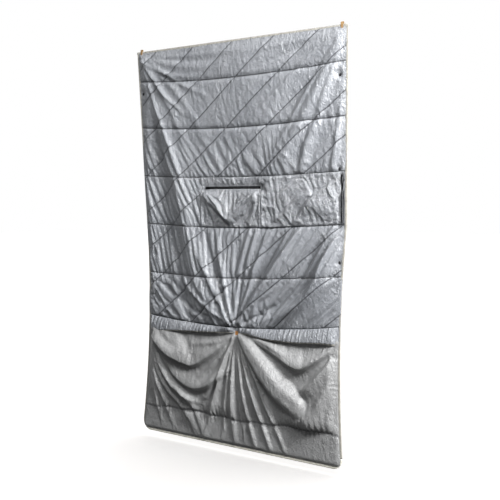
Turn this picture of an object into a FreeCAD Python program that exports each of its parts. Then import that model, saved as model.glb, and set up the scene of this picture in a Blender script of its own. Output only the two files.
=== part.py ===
"""Camp quilt: padded blanket with two zipped pockets, snaps down both sides and a foot pocket.

The quilt hangs from two tape loops at its top corners. X runs across it, Z is up and its face
looks along -Y. The origin is the middle of the top edge. Depths in the sheet are measured
outwards from the quilt's middle plane.
"""
import FreeCAD
import Part
import Sketcher
import os

DIMENSIONS = {
    # outline of the hanging quilt, half widths left and right of the origin
    "quilt_length": 2030, "top_half": 700,
    "left_shoulder": 628, "left_waist": 613, "left_foot": 664,
    "right_shoulder": 696, "right_waist": 662, "right_foot": 675,
    "shoulder_drop": 910, "left_waist_drop": 1300, "right_waist_drop": 1450,
    "foot_corner": 55, "field_corner": 20,
    # layers: thin hem round the edge, a ramp, and the lofted field
    "layer_inset": 1, "hem_side": 72, "hem_end": 40, "ramp_run": 25,
    "hem_half": 2, "field_half": 9, "cloth": 0.8, "layer_gap": 0.2,
    # edge tape and corner loops
    "tape_cover": 12, "tape_outer": 2.9, "tape_inner": 2.1, "tape_fold": 0.8, "tape_join": 0.05,
    "loop_inset": 35, "loop_width": 14, "loop_rise": 12, "loop_leg": 22,
    "loop_inner": 3.1, "loop_cloth": 1.2, "loop_sewn": 1, "tack_width": 2.5, "tack_cloth": 0.6,
    # snaps
    "cap_radius": 7.5, "cap_rim": 0.9, "cap_dome": 0.9, "cap_crown": 4.5, "post_radius": 1.7,
    "hole_radius": 2.1, "back_radius": 6, "back_height": 2.2, "seat_gap": 0.1,
    "post_sink": 0.4, "foot_step": 1.1,
    # pockets
    "pocket_top": 662, "pocket_foot": 909, "pocket_stand": 3.5, "pocket_cloth": 0.6,
    "rim_width": 3, "lining_edge": 1, "lining_low": 0.3, "lining_high": 0.9,
    "centre_left": 204, "centre_right": 197, "centre_zip_drop": 730, "centre_zip_start": 172,
    "side_left": 200, "side_right": 683, "side_zip_across": 672, "side_zip_drop": 682,
    "slot_half": 6, "slot_end": 10, "centre_travel": 350, "side_travel": 206,
    # zip, measured across it and outwards from the quilt's face
    "coil_gap": 0.7, "coil_edge": 2.6, "zip_tape_edge": 7.6, "zip_tape_end": 12,
    "zip_tape_low": 2.8, "zip_tape_high": 3.3, "coil_high": 5.4,
    "slider_half": 4.2, "slider_reach": 5, "plate_low": 1.4, "plate_high": 2.4,
    "crown_low": 5.8, "crown_high": 6.8, "blade_half": 0.4,
    "stop_near": 5.3, "stop_far": 8, "arch_half": 1, "arch_inner": 2.2, "arch_outer": 3.4,
    "arch_low": 8.6, "arch_high": 9.4,
    "pin_radius": 0.6, "pin_height": 7.7, "arm_inner": 1.4, "arm_outer": 2.6,
    "plate_start": 4.3, "arm_lap": 0.2, "pull_length": 24,
    # foot pocket
    "mouth_drop": 1413, "mouth_hem": 42, "foot_cover": 13, "lobe_depth": 80,
    "lobe_left_far": 556, "lobe_left_near": 6, "lobe_right_near": 62, "lobe_right_far": 606,
    "lobe_root": 1, "lobe_slope": 115, "lobe_foot": 1885, "lobe_rise": 235, "lobe_head": 60,
    "tab_across": 31, "tab_half": 10, "tab_top": 1440, "tab_foot": 1468, "tab_cloth": 1.6,
    "tab_stand": 2.1, "tab_sewn": 2,
}
# distance of each snap's centre below the top edge and from the middle line
SNAP_DROPS = (225, 650, 1076, 1500, 1915)
LEFT_SNAPS = (652, 586, 556, 575, 614)
RIGHT_SNAPS = (656, 655, 657, 640, 649)

doc = FreeCAD.newDocument("camp_quilt")
sheet = doc.addObject("Spreadsheet::Sheet", "dims")
cells = list(DIMENSIONS.items())
for side, places in (("left", LEFT_SNAPS), ("right", RIGHT_SNAPS)):
    cells += [("snap_%s_%s" % (side, "abcde"[i]), place) for i, place in enumerate(places)]
cells += [("snap_drop_%s" % "abcde"[i], drop) for i, drop in enumerate(SNAP_DROPS)]
for row, (alias, size) in enumerate(cells, 1):
    sheet.set("A%d" % row, alias)
    sheet.set("B%d" % row, str(size))
    sheet.setAlias("B%d" % row, alias)
doc.recompute()

parts = []


def value(expression):
    """The number that an expression of the sheet's names gives."""
    return float(sheet.evalExpression(expression))


def bound(expression):
    """The same expression as an object outside the sheet writes it."""
    words = expression.replace("(", " ( ").replace(")", " ) ").split()
    return " ".join("dims." + word if word[0].isalpha() else word for word in words)


def keep(shape_object, label):
    """Marks an object as one sub-part and gives it its name."""
    shape_object.Label = label
    parts.append(shape_object)
    return shape_object


def origin_plane(body, role):
    return [plane for plane in body.Origin.OriginFeatures if plane.Role == role][0]


def closed_sketch(body, role, path, offset="0"):
    """A closed outline. Each step of path is (x, z) for a corner reached by a straight edge,
    or (x, z, via_x, via_z) for one reached by an arc through a point between."""
    sketch = body.newObject("Sketcher::SketchObject", body.Name + "_sketch")
    sketch.AttachmentSupport = [(origin_plane(body, role), "")]
    sketch.MapMode = "FlatFace"
    sketch.setExpression(".AttachmentOffset.Base.z", bound(offset))
    spots = [FreeCAD.Vector(value(step[0]), value(step[1]), 0) for step in path]
    for i, step in enumerate(path):
        start, end = spots[i - 1], spots[i]
        if len(step) == 4:
            via = FreeCAD.Vector(value(step[2]), value(step[3]), 0)
            sketch.addGeometry(Part.Arc(start, via, end), False)
        else:
            sketch.addGeometry(Part.LineSegment(start, end), False)
    arcs_turn = [counter_clockwise(spots[i - 1], path[i], spots[i]) for i in range(len(path))]
    for i in range(len(path)):
        following = (i + 1) % len(path)
        last = 2 if arcs_turn[i] else 1
        first = 1 if arcs_turn[following] else 2
        sketch.addConstraint(Sketcher.Constraint("Coincident", i, last, following, first))
        fix_point(sketch, i, last, path[i][0], path[i][1])
    for i, step in enumerate(path):
        if len(step) == 4:
            via = FreeCAD.Vector(value(step[2]), value(step[3]), 0)
            point = sketch.addGeometry(Part.Point(via), True)
            fix_point(sketch, point, 1, step[2], step[3])
            sketch.addConstraint(Sketcher.Constraint("PointOnObject", point, 1, i))
    return sketch


def counter_clockwise(start, step, end):
    """True where an edge runs from its first to its second end point in the sketch."""
    if len(step) == 2:
        return True
    via = FreeCAD.Vector(value(step[2]), value(step[3]), 0)
    return (via - start).cross(end - via).z > 0


def fix_point(sketch, geometry, end, across, up):
    for kind, expression in (("DistanceX", across), ("DistanceY", up)):
        index = sketch.addConstraint(
            Sketcher.Constraint(kind, -1, 1, geometry, end, value(expression)))
        sketch.setExpression("Constraints[%d]" % index, bound(expression))


def pad(body, sketch, length):
    feature = body.newObject("PartDesign::Pad", body.Name + "_pad")
    feature.Profile = sketch
    feature.setExpression("Length", bound(length))
    sketch.Visibility = False
    return feature


def loft(body, first, second):
    feature = body.newObject("PartDesign::AdditiveLoft", body.Name + "_loft")
    feature.Profile = first
    feature.Sections = [second]
    feature.Ruled = True
    return feature


def new_body(name):
    return doc.addObject("PartDesign::Body", name)


def outline(side, end, corner):
    """The quilt's outline, drawn in by side and end, with its foot corners rounded."""
    low = "quilt_length - %s" % end
    cut = "0.2929 * %s" % corner
    foot_left, foot_right = "left_foot - %s" % side, "right_foot - %s" % side
    return [
        ("-1 * (top_half - %s)" % side, "-1 * %s" % end),
        ("top_half - %s" % side, "-1 * %s" % end),
        ("right_shoulder - %s" % side, "-1 * shoulder_drop"),
        (foot_right, "-1 * (%s - %s)" % (low, corner),
         "right_waist - %s" % side, "-1 * right_waist_drop"),
        ("%s - %s" % (foot_right, corner), "-1 * (%s)" % low,
         "%s - %s" % (foot_right, cut), "-1 * (%s - %s)" % (low, cut)),
        ("-1 * (%s - %s)" % (foot_left, corner), "-1 * (%s)" % low),
        ("-1 * (%s)" % foot_left, "-1 * (%s - %s)" % (low, corner),
         "-1 * (%s - %s)" % (foot_left, cut), "-1 * (%s - %s)" % (low, cut)),
        ("-1 * (left_shoulder - %s)" % side, "-1 * shoulder_drop",
         "-1 * (left_waist - %s)" % side, "-1 * left_waist_drop"),
    ]


def rectangle(x_low, x_high, y_low, y_high):
    return [(x_low, y_low), (x_high, y_low), (x_high, y_high), (x_low, y_high)]


def form(name, front=None, back=None):
    """The quilt's own shape, with its hem, ramp and field, at a depth over its face, over its
    back cloth or over both. It ends at the middle plane on a side that is left out."""
    body = new_body(name)
    edge = outline("layer_inset", "layer_inset", "(foot_corner - layer_inset)")
    inner = outline("hem_side", "hem_end", "field_corner")
    top = outline("(hem_side + ramp_run)", "(hem_end + ramp_run)", "field_corner")
    ahead = "(hem_half + %s)" % front if front else "0"
    behind = "(hem_half + %s)" % back if back else "0"
    pad(body, closed_sketch(body, "XZ_Plane", edge, "-1 * " + behind), "%s + %s" % (ahead, behind))
    for over, hem, sign in ((front, ahead, "1 * "), (back, behind, "-1 * ")):
        if over:
            loft(body, closed_sketch(body, "XZ_Plane", inner, sign + hem),
                 closed_sketch(body, "XZ_Plane", top, sign + "(field_half + %s)" % over))
    return body


def slab(name, path, low, high):
    """A flat piece between two depths in front of the middle plane."""
    body = new_body(name)
    pad(body, closed_sketch(body, "XZ_Plane", path, low), "%s - (%s)" % (high, low))
    return body


def strip(name, x_low, x_high, z_low, z_high, low, high):
    return slab(name, rectangle(x_low, x_high, z_low, z_high), low, high)


def combine(kind, name, first, second):
    result = doc.addObject("Part::" + kind, name)
    result.Base = first
    result.Tool = second
    return result


def union(name, shapes):
    result = doc.addObject("Part::MultiFuse", name)
    result.Shapes = shapes
    return result


def gather(name, shapes):
    """Separate solids that make one sub-part."""
    result = doc.addObject("Part::Compound", name)
    result.Links = shapes
    return result


def rod(name, radius, across, low, length, drop):
    """A cylinder through the quilt, from depth low, outwards by length."""
    cylinder = doc.addObject("Part::Cylinder", name)
    cylinder.setExpression("Radius", bound(radius))
    cylinder.setExpression("Height", bound(length))
    place_outward(cylinder, across, low, drop)
    return cylinder


def place_outward(primitive, across, low, drop):
    primitive.Placement = FreeCAD.Placement(
        FreeCAD.Vector(), FreeCAD.Rotation(FreeCAD.Vector(1, 0, 0), 90))
    primitive.setExpression(".Placement.Base.x", bound(across))
    primitive.setExpression(".Placement.Base.y", bound("-1 * (%s)" % low))
    primitive.setExpression(".Placement.Base.z", bound("-1 * %s" % drop))


# ---- layers -------------------------------------------------------------------------------

def snap_places(side):
    sign = "-1 * " if side == "left" else "1 * "
    return [(sign + "snap_%s_%s" % (side, mark), "snap_drop_" + mark) for mark in "abcde"]


def snap_holes():
    depth = "(lobe_depth + field_half)"
    rods = [rod("snap_hole", "hole_radius", across, "-1 * field_half", depth, drop)
            for side in ("left", "right") for across, drop in snap_places(side)]
    return union("snap_holes", rods)


def layers(holes):
    """Face cloth, fill and back cloth."""
    face = combine("Cut", "face_sheet", form("face_outside", "0"),
                   form("face_inside", "(0 - cloth)"))
    keep(combine("Cut", "face_holed", face, holes), "face_shell")
    within = "(0 - cloth - layer_gap)"
    fill = form("fill", within, within)
    keep(combine("Cut", "fill_holed", fill, holes), "batting")
    back = combine("Cut", "back_sheet", form("back_outside", back="0"),
                   form("back_inside", back="(0 - cloth)"))
    keep(combine("Cut", "back_holed", back, holes), "back_shell")


# ---- edge tape, loops ---------------------------------------------------------------------

def edge_tape():
    """Four strips of tape folded round the edge of the layers."""
    whole = slab("tape_block", outline("0", "0", "foot_corner"), "-1 * tape_outer", "tape_outer")
    window = slab("tape_window", outline("tape_cover", "tape_cover", "(foot_corner - tape_cover)"),
                  "-2 * tape_outer", "2 * tape_outer")
    groove = slab("tape_groove", outline("tape_fold", "tape_fold", "(foot_corner - tape_fold)"),
                  "-1 * tape_inner", "tape_inner")
    ring = combine("Cut", "tape_ring", combine("Cut", "tape_frame", whole, window), groove)
    wide, deep = "(top_half + tape_cover)", "(tape_outer + tape_inner)"
    foot = "(quilt_length - foot_corner)"
    zones = {
        "binding_top": ("-1 * " + wide, wide, "-1 * tape_cover", "tape_cover"),
        "binding_left": ("-1 * " + wide, "0", "-1 * " + foot, "-1 * (tape_cover + tape_join)"),
        "binding_right": ("0", wide, "-1 * " + foot, "-1 * (tape_cover + tape_join)"),
        "binding_bottom": ("-1 * " + wide, wide, "-1 * (quilt_length + tape_cover)",
                           "-1 * (%s + tape_join)" % foot),
    }
    for label, (x_low, x_high, z_low, z_high) in zones.items():
        zone = strip(label + "_zone", x_low, x_high, z_low, z_high, "-1 * " + deep, deep)
        keep(combine("Common", label + "_tape", ring, zone), label)


def hang_loop(label, centre):
    """A tape loop over the top edge, both legs sewn to the edge tape."""
    body = new_body(label + "_body")
    inner, outer = "loop_inner", "(loop_inner + loop_cloth)"
    path = [
        (outer, "-1 * loop_leg"), (outer, "loop_rise - " + outer),
        ("-1 * " + outer, "loop_rise - " + outer, "0", "loop_rise"),
        ("-1 * " + outer, "-1 * loop_leg"), ("-1 * " + inner, "-1 * loop_leg"),
        ("-1 * " + inner, "loop_rise - " + outer),
        (inner, "loop_rise - " + outer, "0", "loop_rise - loop_cloth"),
        (inner, "-1 * loop_leg"),
    ]
    pad(body, closed_sketch(body, "YZ_Plane", path, "0"), "loop_width")
    body.setExpression(".Placement.Base.x", bound("%s - 0.5 * loop_width" % centre))
    keep(body, label)


def bartacks(loop_centres):
    """Thick thread bars over the ends of both loops and of the foot tab."""
    low = "(loop_inner + loop_cloth)"
    bars = []
    for centre in loop_centres:
        for name, start in (("front", low), ("back", "(0 - %s - tack_cloth)" % low)):
            bars.append(strip(
                "tack_" + name, "%s - 0.4 * loop_width" % centre,
                "%s + 0.4 * loop_width" % centre, "-1 * (loop_leg - loop_sewn)",
                "-1 * (loop_leg - loop_sewn - tack_width)", start, "%s + tack_cloth" % start))
    tab_face = "(field_half + tab_stand + tab_cloth)"
    bars.append(strip("tack_tab", "tab_across - 0.7 * tab_half", "tab_across + 0.7 * tab_half",
                      "-1 * (tab_foot - tab_sewn)", "-1 * (tab_foot - tab_sewn - tack_width)",
                      tab_face, "%s + tack_cloth" % tab_face))
    keep(gather("bartack_group", bars), "bartacks")


# ---- snaps --------------------------------------------------------------------------------

def snap_group(side, front_label, back_label):
    """Five snaps: a domed cap with its post in front, a pressed ring behind."""
    fronts, backs = [], []
    for number, (across, drop) in enumerate(snap_places(side)):
        over_pocket = number > 2
        seat = "(hem_half + seat_gap%s)" % (" + foot_step" if over_pocket else "")
        behind = "(hem_half + seat_gap + back_height)"
        rim = rod("cap_rim", "cap_radius", across, seat, "cap_rim", drop)
        dome = doc.addObject("Part::Cone", "cap_dome")
        dome.setExpression("Radius1", bound("cap_radius"))
        dome.setExpression("Radius2", bound("cap_crown"))
        dome.setExpression("Height", bound("cap_dome"))
        place_outward(dome, across, "%s + cap_rim" % seat, drop)
        post = rod("cap_post", "post_radius", across, "-1 * (%s - post_sink)" % behind,
                   "%s + %s - post_sink" % (seat, behind), drop)
        fronts.append(union("cap", [rim, dome, post]))
        ring = rod("back_ring", "back_radius", across, "-1 * " + behind, "back_height", drop)
        bore = rod("back_bore", "hole_radius", across, "-2 * " + behind, "2 * " + behind, drop)
        backs.append(combine("Cut", "back_piece", ring, bore))
    keep(gather(front_label + "_group", fronts), front_label)
    keep(gather(back_label + "_group", backs), back_label)


# ---- zipped pockets -----------------------------------------------------------------------

def zipped_pocket(label, left, right, slot):
    """A patch with a low rim standing on the face, its lining, and a slot for the zip."""
    top, foot = "-1 * pocket_top", "-1 * pocket_foot"
    high = "(2 * field_half + pocket_stand)"

    def within(name, inset):
        """The space over the pocket's area, drawn in from its edges."""
        return strip(label + name, left + " + " + inset, right + " - " + inset,
                     foot + " + " + inset, top + " - " + inset, "0", high)

    outside = form(label + "_out", "(pocket_stand + pocket_cloth)")
    shell = combine("Common", label + "_block", outside, within("_zone", "0"))
    room = combine("Common", label + "_room", form(label + "_in", "pocket_stand"),
                   within("_inside", "rim_width"))
    seat = form(label + "_seat", "seat_gap")
    opening = strip(label + "_slot", *slot, "0", high)
    patch = combine("Cut", label + "_patch", shell, union(label + "_away", [room, seat, opening]))
    keep(patch, label + "_panel")
    layer = combine("Cut", label + "_sheet", form(label + "_sheet_high", "lining_high"),
                    form(label + "_sheet_low", "lining_low"))
    keep(combine("Common", label + "_sheet_cut", layer,
                 within("_sheet_room", "(rim_width + lining_edge)")), label + "_lining")


def zip_bar(name, frame, x_low, x_high, y_low, y_high, low, high):
    """A straight piece of a zip: x along its travel, y across it, z out of the quilt's face."""
    body = new_body(name)
    path = rectangle(x_low, x_high, y_low, y_high)
    pad(body, closed_sketch(body, "XY_Plane", path, low), "%s - (%s)" % (high, low))
    body.Placement = frame
    return body


def zipper(label, frame, travel, upper, lower):
    """Two tapes, two coils, end stops, slider and pull, with the slider at the closed end."""
    for side, word in ((1, upper), (-1, lower)):
        edges = sorted_edges(side, "coil_gap", "zip_tape_edge")
        tape = zip_bar("%s_%s" % (label, word), frame, "-1 * zip_tape_end",
                       travel + " + zip_tape_end", *edges, "zip_tape_low", "zip_tape_high")
        keep(tape, "%s_zip_tape_%s" % (label, word))
    coils = [zip_bar(label + "_coil", frame, "-1 * slider_reach", travel + " + slider_reach",
                     *sorted_edges(side, "coil_gap", "coil_edge"), "zip_tape_high", "coil_high")
             for side in (1, -1)]
    keep(gather(label + "_coil_pair", coils), label + "_zip_coils")
    stops = [zip_bar(label + "_stop", frame, x_low, x_high, "-1 * coil_edge", "coil_edge",
                     "zip_tape_high", "crown_high")
             for x_low, x_high in (("-1 * stop_far", "-1 * stop_near"),
                                   (travel + " + stop_near", travel + " + stop_far"))]
    keep(gather(label + "_stop_pair", stops), label + "_zip_stops")
    slider(label, frame)
    pull(label, frame)


def sorted_edges(side, near, far):
    return (near, far) if side > 0 else ("-1 * " + far, "-1 * " + near)


def slider(label, frame):
    """Two plates joined by a blade between the coils, with an arch for the pull on top."""
    reach = ("-1 * slider_reach", "slider_reach")
    half = ("-1 * slider_half", "slider_half")
    arch = ("-1 * arch_half", "arch_half")
    pieces = [
        zip_bar("slider_plate", frame, *reach, *half, "plate_low", "plate_high"),
        zip_bar("slider_blade", frame, "-0.5 * slider_reach", "0.5 * slider_reach",
                "-1 * blade_half", "blade_half", "plate_high", "crown_low"),
        zip_bar("slider_crown", frame, *reach, *half, "crown_low", "crown_high"),
        zip_bar("arch_bar", frame, "-1 * arch_outer", "arch_outer", *arch, "arch_low", "arch_high"),
    ]
    for side in (1, -1):
        pieces.append(zip_bar("arch_leg", frame, *sorted_edges(side, "arch_inner", "arch_outer"),
                              *arch, "crown_high", "arch_high"))
    keep(union(label + "_slider_solid", pieces), label + "_zip_slider")


def pull(label, frame):
    """A round pin under the arch, two arms and a flat tag, lying along the zip."""
    low, high = "pin_height - pin_radius", "pin_height + pin_radius"
    pieces = [
        pull_pin(frame),
        zip_bar("pull_tag", frame, "plate_start", "pull_length", "-1 * arm_outer", "arm_outer",
                low, high),
    ]
    for side in (1, -1):
        pieces.append(zip_bar("pull_arm", frame, "0", "plate_start + arm_lap",
                              *sorted_edges(side, "arm_inner", "arm_outer"), low, high))
    keep(union(label + "_pull_solid", pieces), label + "_zip_pull")


def pull_pin(frame):
    """The pin that the pull turns on, across the zip."""
    body = new_body("pull_pin")
    sketch = body.newObject("Sketcher::SketchObject", "pin_sketch")
    sketch.AttachmentSupport = [(origin_plane(body, "XZ_Plane"), "")]
    sketch.MapMode = "FlatFace"
    sketch.setExpression(".AttachmentOffset.Base.z", bound("-1 * arm_outer"))
    centre = FreeCAD.Vector(0, value("pin_height"), 0)
    sketch.addGeometry(Part.Circle(centre, FreeCAD.Vector(0, 0, 1), value("pin_radius")), False)
    fix_point(sketch, 0, 3, "0", "pin_height")
    index = sketch.addConstraint(Sketcher.Constraint("Radius", 0, value("pin_radius")))
    sketch.setExpression("Constraints[%d]" % index, bound("pin_radius"))
    pad(body, sketch, "2 * arm_outer")
    body.Placement = frame
    return body


def zip_frame(x_axis, y_axis, across, depth, drop):
    """Placement of a zip whose travel, width and thickness follow the given directions."""
    z_axis = x_axis.cross(y_axis)
    turn = FreeCAD.Rotation(x_axis, y_axis, z_axis)
    return FreeCAD.Placement(FreeCAD.Vector(value(across), -value(depth), -value(drop)), turn)


def pockets():
    east, up = FreeCAD.Vector(1, 0, 0), FreeCAD.Vector(0, 0, 1)
    slot = ("-1 * (centre_zip_start + slot_end)", "centre_travel + slot_end - centre_zip_start",
            "-1 * (centre_zip_drop + slot_half)", "-1 * (centre_zip_drop - slot_half)")
    zipped_pocket("centre_pocket", "-1 * centre_left", "centre_right", slot)
    zipper("centre", zip_frame(east, up, "-1 * centre_zip_start", "field_half", "centre_zip_drop"),
           "centre_travel", "upper", "lower")
    slot = ("side_zip_across - slot_half", "side_zip_across + slot_half",
            "-1 * (side_zip_drop + side_travel + slot_end)", "-1 * (side_zip_drop - slot_end)")
    zipped_pocket("side_pocket", "side_left", "side_right", slot)
    zipper("side", zip_frame(-up, east, "side_zip_across", "hem_half", "side_zip_drop"),
           "side_travel", "outer", "inner")


# ---- foot pocket --------------------------------------------------------------------------

def lobe(name, far, near, grow):
    """One side of the foot pocket's slack, open upwards. far and near are signed distances."""
    body = new_body(name)
    sign = "1" if value(far) > value(near) else "-1"
    out, slope = sign + " * %s" % grow, sign + " * lobe_slope"
    foot = "lobe_foot + %s" % grow
    head = "-1 * (mouth_drop - lobe_head)"
    base = rectangle("%s - %s" % (near, out), "%s + %s" % (far, out), "-1 * (%s)" % foot, head)
    crown = rectangle("%s - %s + %s" % (near, out, slope), "%s + %s - %s" % (far, out, slope),
                      "-1 * (%s - lobe_rise)" % foot, head)
    loft(body, closed_sketch(body, "XZ_Plane", base, "lobe_root"),
         closed_sketch(body, "XZ_Plane", crown, "lobe_depth + %s" % grow))
    return body


def foot_form(name, grow):
    """The foot pocket's outer shape, grow outside its inner face."""
    seat = form(name + "_seat", "(lining_low + %s)" % grow)
    lobes = [
        lobe(name + "_left", "-1 * lobe_left_far", "-1 * lobe_left_near", grow),
        lobe(name + "_right", "lobe_right_far", "lobe_right_near", grow),
    ]
    return union(name, [seat] + lobes)


def foot_pocket(holes):
    zone = slab("foot_zone", outline("foot_cover", "foot_cover", "(foot_corner - foot_cover)"),
                "0", "2 * lobe_depth")
    wide = "(top_half + tape_cover)"
    below = strip("foot_below", "-1 * " + wide, wide, "-1 * quilt_length", "-1 * mouth_drop",
                  "0", "2 * lobe_depth")
    zone = combine("Common", "foot_area", zone, below)
    hollow = combine("Cut", "foot_cloth", foot_form("foot_outside", "cloth"),
                     foot_form("foot_inside", "0"))
    cloth = combine("Common", "foot_panel", hollow, zone)
    keep(combine("Cut", "foot_holed", cloth, holes), "foot_pocket_panel")
    band = combine("Cut", "mouth_band", foot_form("mouth_outside", "(2 * cloth + seat_gap)"),
                   foot_form("mouth_inside", "(cloth + seat_gap)"))
    mouth_zone = strip("mouth_zone", "-1 * (left_waist - foot_cover)", "right_waist - foot_cover",
                       "-1 * (mouth_drop + mouth_hem)", "-1 * mouth_drop", "0", "2 * lobe_depth")
    keep(combine("Common", "mouth_hem_band", band, mouth_zone), "foot_pocket_mouth_hem")
    keep(strip("foot_tab_body", "tab_across - tab_half", "tab_across + tab_half",
               "-1 * tab_foot", "-1 * tab_top",
               "field_half + tab_stand", "field_half + tab_stand + tab_cloth"), "foot_tab")


# ---- build --------------------------------------------------------------------------------

def check_and_write():
    doc.recompute()
    for item in doc.Objects:
        if {"Invalid", "Error"} & set(item.State):
            raise RuntimeError("%s failed: %s" % (item.Label, item.State))
    os.makedirs("parts", exist_ok=True)
    for part in parts:
        shape = part.Shape
        if shape.isNull() or not shape.isValid() or shape.Volume <= 0:
            raise RuntimeError("%s has no valid shape" % part.Label)
        shape.exportStep("parts/%s.step" % part.Label)
        print("%-28s %2d solids %10.1f mm3" % (part.Label, len(shape.Solids), shape.Volume))


snap_bores = snap_holes()
layers(snap_bores)
edge_tape()
corner_loops = {"hang_loop_left": "(0 - top_half + loop_inset)",
                "hang_loop_right": "(top_half - loop_inset)"}
for loop_label, loop_centre in corner_loops.items():
    hang_loop(loop_label, loop_centre)
bartacks(corner_loops.values())
snap_group("left", "snap_caps_left", "snap_sockets_left")
snap_group("right", "snap_studs_right", "snap_backs_right")
pockets()
foot_pocket(snap_bores)
check_and_write()
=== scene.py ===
"""Looks of a hanging camp quilt: quilted cloth, edge tape, snaps, zipped pockets, foot pocket."""
import bpy
import math
import numpy as np
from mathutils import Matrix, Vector


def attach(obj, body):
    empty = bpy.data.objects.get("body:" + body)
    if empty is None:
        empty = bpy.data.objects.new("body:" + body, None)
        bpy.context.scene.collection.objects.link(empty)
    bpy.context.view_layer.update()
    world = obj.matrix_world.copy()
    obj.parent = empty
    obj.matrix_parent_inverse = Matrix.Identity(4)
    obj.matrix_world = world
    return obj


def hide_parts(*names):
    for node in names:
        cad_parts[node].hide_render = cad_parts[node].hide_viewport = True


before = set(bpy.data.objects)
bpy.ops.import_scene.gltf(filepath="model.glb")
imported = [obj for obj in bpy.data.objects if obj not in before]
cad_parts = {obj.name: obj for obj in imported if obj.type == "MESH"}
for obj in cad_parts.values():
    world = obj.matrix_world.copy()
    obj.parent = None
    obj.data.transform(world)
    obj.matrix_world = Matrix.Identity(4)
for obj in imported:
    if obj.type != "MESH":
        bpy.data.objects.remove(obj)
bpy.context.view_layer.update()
BODY = "quilt"

# Outline of the hanging quilt, in metres below the top edge and across from its middle.
LENGTH = 2.03
TOP_HALF = 0.700
SHOULDER_DROP = 0.910
FOOT_CORNER = 0.055
CORNER_DROP = LENGTH - FOOT_CORNER
LEFT_SIDE = {"shoulder": 0.628, "waist": 0.613, "waist_drop": 1.300, "foot": 0.664}
RIGHT_SIDE = {"shoulder": 0.696, "waist": 0.662, "waist_drop": 1.450, "foot": 0.675}

# Stitched rows: depth of each below the top edge at the left edge, the middle and the right edge.
ROW_PITCH = 0.251
FIRST_ROW = 0.157
ROWS = (
    (0.161, 0.187, 0.166), (0.405, 0.433, 0.412), (0.660, 0.678, 0.661), (0.912, 0.926, 0.900),
    (1.170, 1.178, 1.140), (1.395, 1.422, 1.369), (1.645, 1.660, 1.630), (1.884, 1.880, 1.866),
)
# Slanting stitch lines rise to the right: drop + SLANT * (x + SLANT_START) is the same along one.
SLANT = 0.74
SLANT_START = 0.685
SLANT_FIRST = 0.11
SLANT_PITCH = 0.20
SLANT_COUNT = 16

# Nominal drops of the rows at the mouth of the foot pocket and near its foot.
MOUTH_ROW = FIRST_ROW + 5 * ROW_PITCH
FOOT_ROW = FIRST_ROW + 7 * ROW_PITCH
FOOT_MOUTH = 1.432
# The folds of the body fade out from the first of these drops; the foot pocket hides the quilting
# from the second one on.
FOLDS_END = 1.40
HIDDEN_FROM = 1.43

# Columns of the quilt's grid, and frames that its cloths settle for.
QUILT_COLUMNS = 201
SETTLE_FRAMES = 16
# Height of the fill in a channel, thickness of a cloth, and space left between touching pieces.
LOFT = 0.010
CLOTH = 0.0008
CLEARANCE = 0.0006
# The back cloth lies between these distances behind the middle plane, and never nearer to the
# face than the space for the fill.
BACK_NEAR = 0.0020
BACK_FAR = 0.0205
FILL_SPACE = 0.0042
# Hanging loops and their webbing's thickness, and the place (x, drop) of the tab.
LOOP_X = 0.665
WEBBING = 0.0011
TAB = (0.031, 1.452)
# Pockets: the rows they are sewn to, the levels of their grids, their sides, and their slots as
# (left, right, top, foot).
POCKET_ROWS = (FIRST_ROW + 2 * ROW_PITCH, FIRST_ROW + 3 * ROW_PITCH)
POCKET_TOP = 0.668
POCKET_DEPTH = 0.243
CENTRE_POCKET = (-0.204, 0.197)
SIDE_POCKET = (0.200, 0.683)
CENTRE_SLOT = (-0.182, 0.188, 0.724, 0.736)
SIDE_SLOT = (0.666, 0.678, 0.677, 0.8925)
# Zips: the line of each, and where their tapes start before the first coil.
CENTRE_ZIP_DROP = 0.730
SIDE_ZIP_X = 0.672
ZIP_START = -0.012
ZIP_THICKNESS = 0.0005


# ---- small maths --------------------------------------------------------------------------

def smooth(t):
    """Zero below 0, one above 1, and a smooth step between them."""
    t = np.clip(t, 0.0, 1.0)
    return t * t * (3 - 2 * t)


def highest(first, *others):
    """The greatest of several values at each point."""
    for other in others:
        first = np.maximum(first, other)
    return first


def spread(values, reach):
    """The greatest value within a number of cells of each point."""
    for axis in (0, 1):
        copies = [np.roll(values, k, axis) for k in range(-reach, reach + 1)]
        values = np.max(copies, axis=0)
    return values


def soften(values, times):
    """Values averaged with their neighbours."""
    for _ in range(times):
        padded = np.pad(values, 1, mode="edge")
        values = (values * 2 + padded[:-2, 1:-1] + padded[2:, 1:-1] + padded[1:-1, :-2]
                  + padded[1:-1, 2:]) / 6
    return values


def arc_through(points):
    """Centre and radius of the circle through three (x, drop) points."""
    (ax, ay), (bx, by), (cx, cy) = points
    d = 2 * (ax * (by - cy) + bx * (cy - ay) + cx * (ay - by))
    ux = ((ax**2 + ay**2) * (by - cy) + (bx**2 + by**2) * (cy - ay)
          + (cx**2 + cy**2) * (ay - by)) / d
    uy = ((ax**2 + ay**2) * (cx - bx) + (bx**2 + by**2) * (ax - cx)
          + (cx**2 + cy**2) * (bx - ax)) / d
    return ux, uy, math.hypot(ax - ux, ay - uy)


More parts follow.
